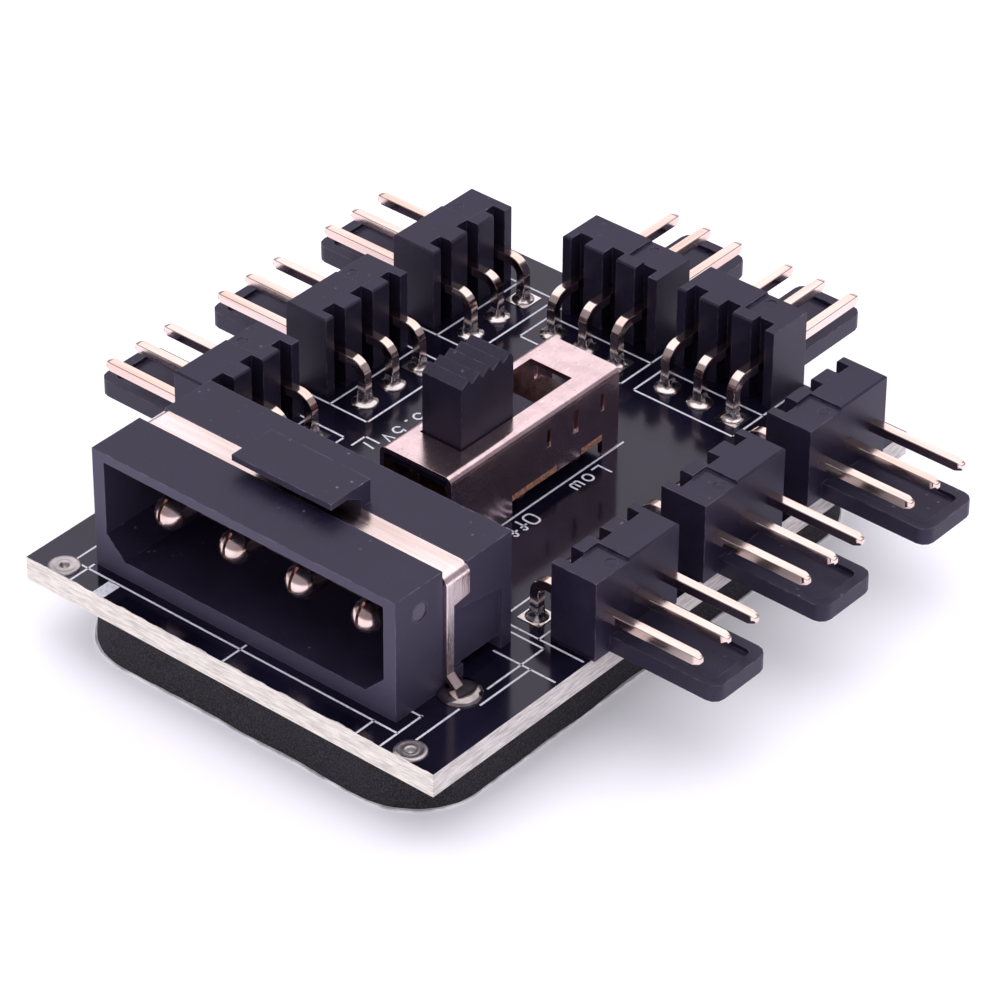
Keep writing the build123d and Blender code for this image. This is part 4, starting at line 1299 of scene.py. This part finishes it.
class PrintOperator(bpy.types.Operator):
    """Print the white lines and the switch labels on the board"""

    bl_idname = "fan_hub.board_print"
    bl_label = "Board Print"
    bl_options = {"REGISTER", "UNDO"}

    def execute(self, context):
        build_print(context.scene.fan_hub_board)
        return {"FINISHED"}


class PadOperator(bpy.types.Operator):
    """Add the foam pad, its adhesive film and its release liner"""

    bl_idname = "fan_hub.pad"
    bl_label = "Foam Pad"
    bl_options = {"REGISTER", "UNDO"}

    def execute(self, context):
        pad = context.scene.fan_hub_pad
        build_foam(pad)
        build_sheet("liner_sheet", "release_liner", "liner", LINER_RAGGED, pad.seed)
        film = build_sheet("film_sheet", "adhesive_film", "film", FILM_RAGGED, pad.seed + 1)
        keep_inside(film, "adhesive_film")
        return {"FINISHED"}


class InletOperator(bpy.types.Operator):
    """Add the power inlet: its moulding, four rolled pins and the tin strap"""

    bl_idname = "fan_hub.inlet"
    bl_label = "Power Inlet"
    bl_options = {"REGISTER", "UNDO"}

    def execute(self, context):
        build_power_housing(context.scene.fan_hub_plastic)
        build_strap(context.scene.fan_hub_metal)
        for index in range(POWER_PINS):
            build_power_pin(index + 1, context.scene.fan_hub_metal)
        return {"FINISHED"}


class HeadersOperator(bpy.types.Operator):
    """Add the eight fan headers with their bent pins"""

    bl_idname = "fan_hub.headers"
    bl_label = "Fan Headers"
    bl_options = {"REGISTER", "UNDO"}

    def execute(self, context):
        for row, header in header_names():
            build_header_housing(header, context.scene.fan_hub_plastic)
            build_header_pins(row, header)
        return {"FINISHED"}


class SolderOperator(bpy.types.Operator):
    """Add every solder joint and the two corner pads"""

    bl_idname = "fan_hub.solder"
    bl_label = "Solder"
    bl_options = {"REGISTER", "UNDO"}

    def execute(self, context):
        picker = random.Random(SOLDER_SEED)
        for row in HEADERS:
            build_header_solder(row, picker)
        build_power_solder()
        build_switch_solder()
        build_edge_pads()
        return {"FINISHED"}


class SwitchOperator(bpy.types.Operator):
    """Add the slide switch with its lever and contacts"""

    bl_idname = "fan_hub.switch"
    bl_label = "Slide Switch"
    bl_options = {"REGISTER", "UNDO"}

    def execute(self, context):
        build_switch(context.scene.fan_hub_plastic, context.scene.fan_hub_metal)
        return {"FINISHED"}


class StageOperator(bpy.types.Operator):
    """Add the floor, the soft lamp and the camera"""

    bl_idname = "fan_hub.stage"
    bl_label = "Stage"
    bl_options = {"REGISTER", "UNDO"}

    def execute(self, context):
        settings = context.scene.fan_hub_stage
        build_floor(settings)
        build_world()
        build_lamp(settings)
        build_camera(settings)
        context.scene.view_settings.view_transform = "Standard"
        return {"FINISHED"}


class HubPanel(bpy.types.Panel):
    """Lists the hub's settings and operators in the sidebar"""

    bl_idname = "VIEW3D_PT_fan_hub"
    bl_label = "Fan Hub"
    bl_space_type = "VIEW_3D"
    bl_region_type = "UI"
    bl_category = "Fan Hub"

    def draw(self, context):
        for name in SETTINGS:
            settings = getattr(context.scene, name)
            box = self.layout.box()
            for key in settings.__annotations__:
                box.prop(settings, key)
        for operator in OPERATORS:
            self.layout.operator(operator.bl_idname)


OPERATORS = [
    BoardOperator,
    PrintOperator,
    PadOperator,
    InletOperator,
    HeadersOperator,
    SolderOperator,
    SwitchOperator,
    StageOperator,
]


def register():
    for name, settings in SETTINGS.items():
        bpy.utils.register_class(settings)
        setattr(bpy.types.Scene, name, PointerProperty(type=settings))
    for operator in OPERATORS:
        bpy.utils.register_class(operator)
    bpy.utils.register_class(HubPanel)


def unregister():
    bpy.utils.unregister_class(HubPanel)
    for operator in reversed(OPERATORS):
        bpy.utils.unregister_class(operator)
    for name, settings in SETTINGS.items():
        delattr(bpy.types.Scene, name)
        bpy.utils.unregister_class(settings)


def main():
    register()
    bpy.ops.fan_hub.board()
    bpy.ops.fan_hub.board_print()
    bpy.ops.fan_hub.pad()
    bpy.ops.fan_hub.inlet()
    bpy.ops.fan_hub.headers()
    bpy.ops.fan_hub.solder()
    bpy.ops.fan_hub.switch()
    bpy.ops.fan_hub.stage()


if __name__ == "__main__":
    main()
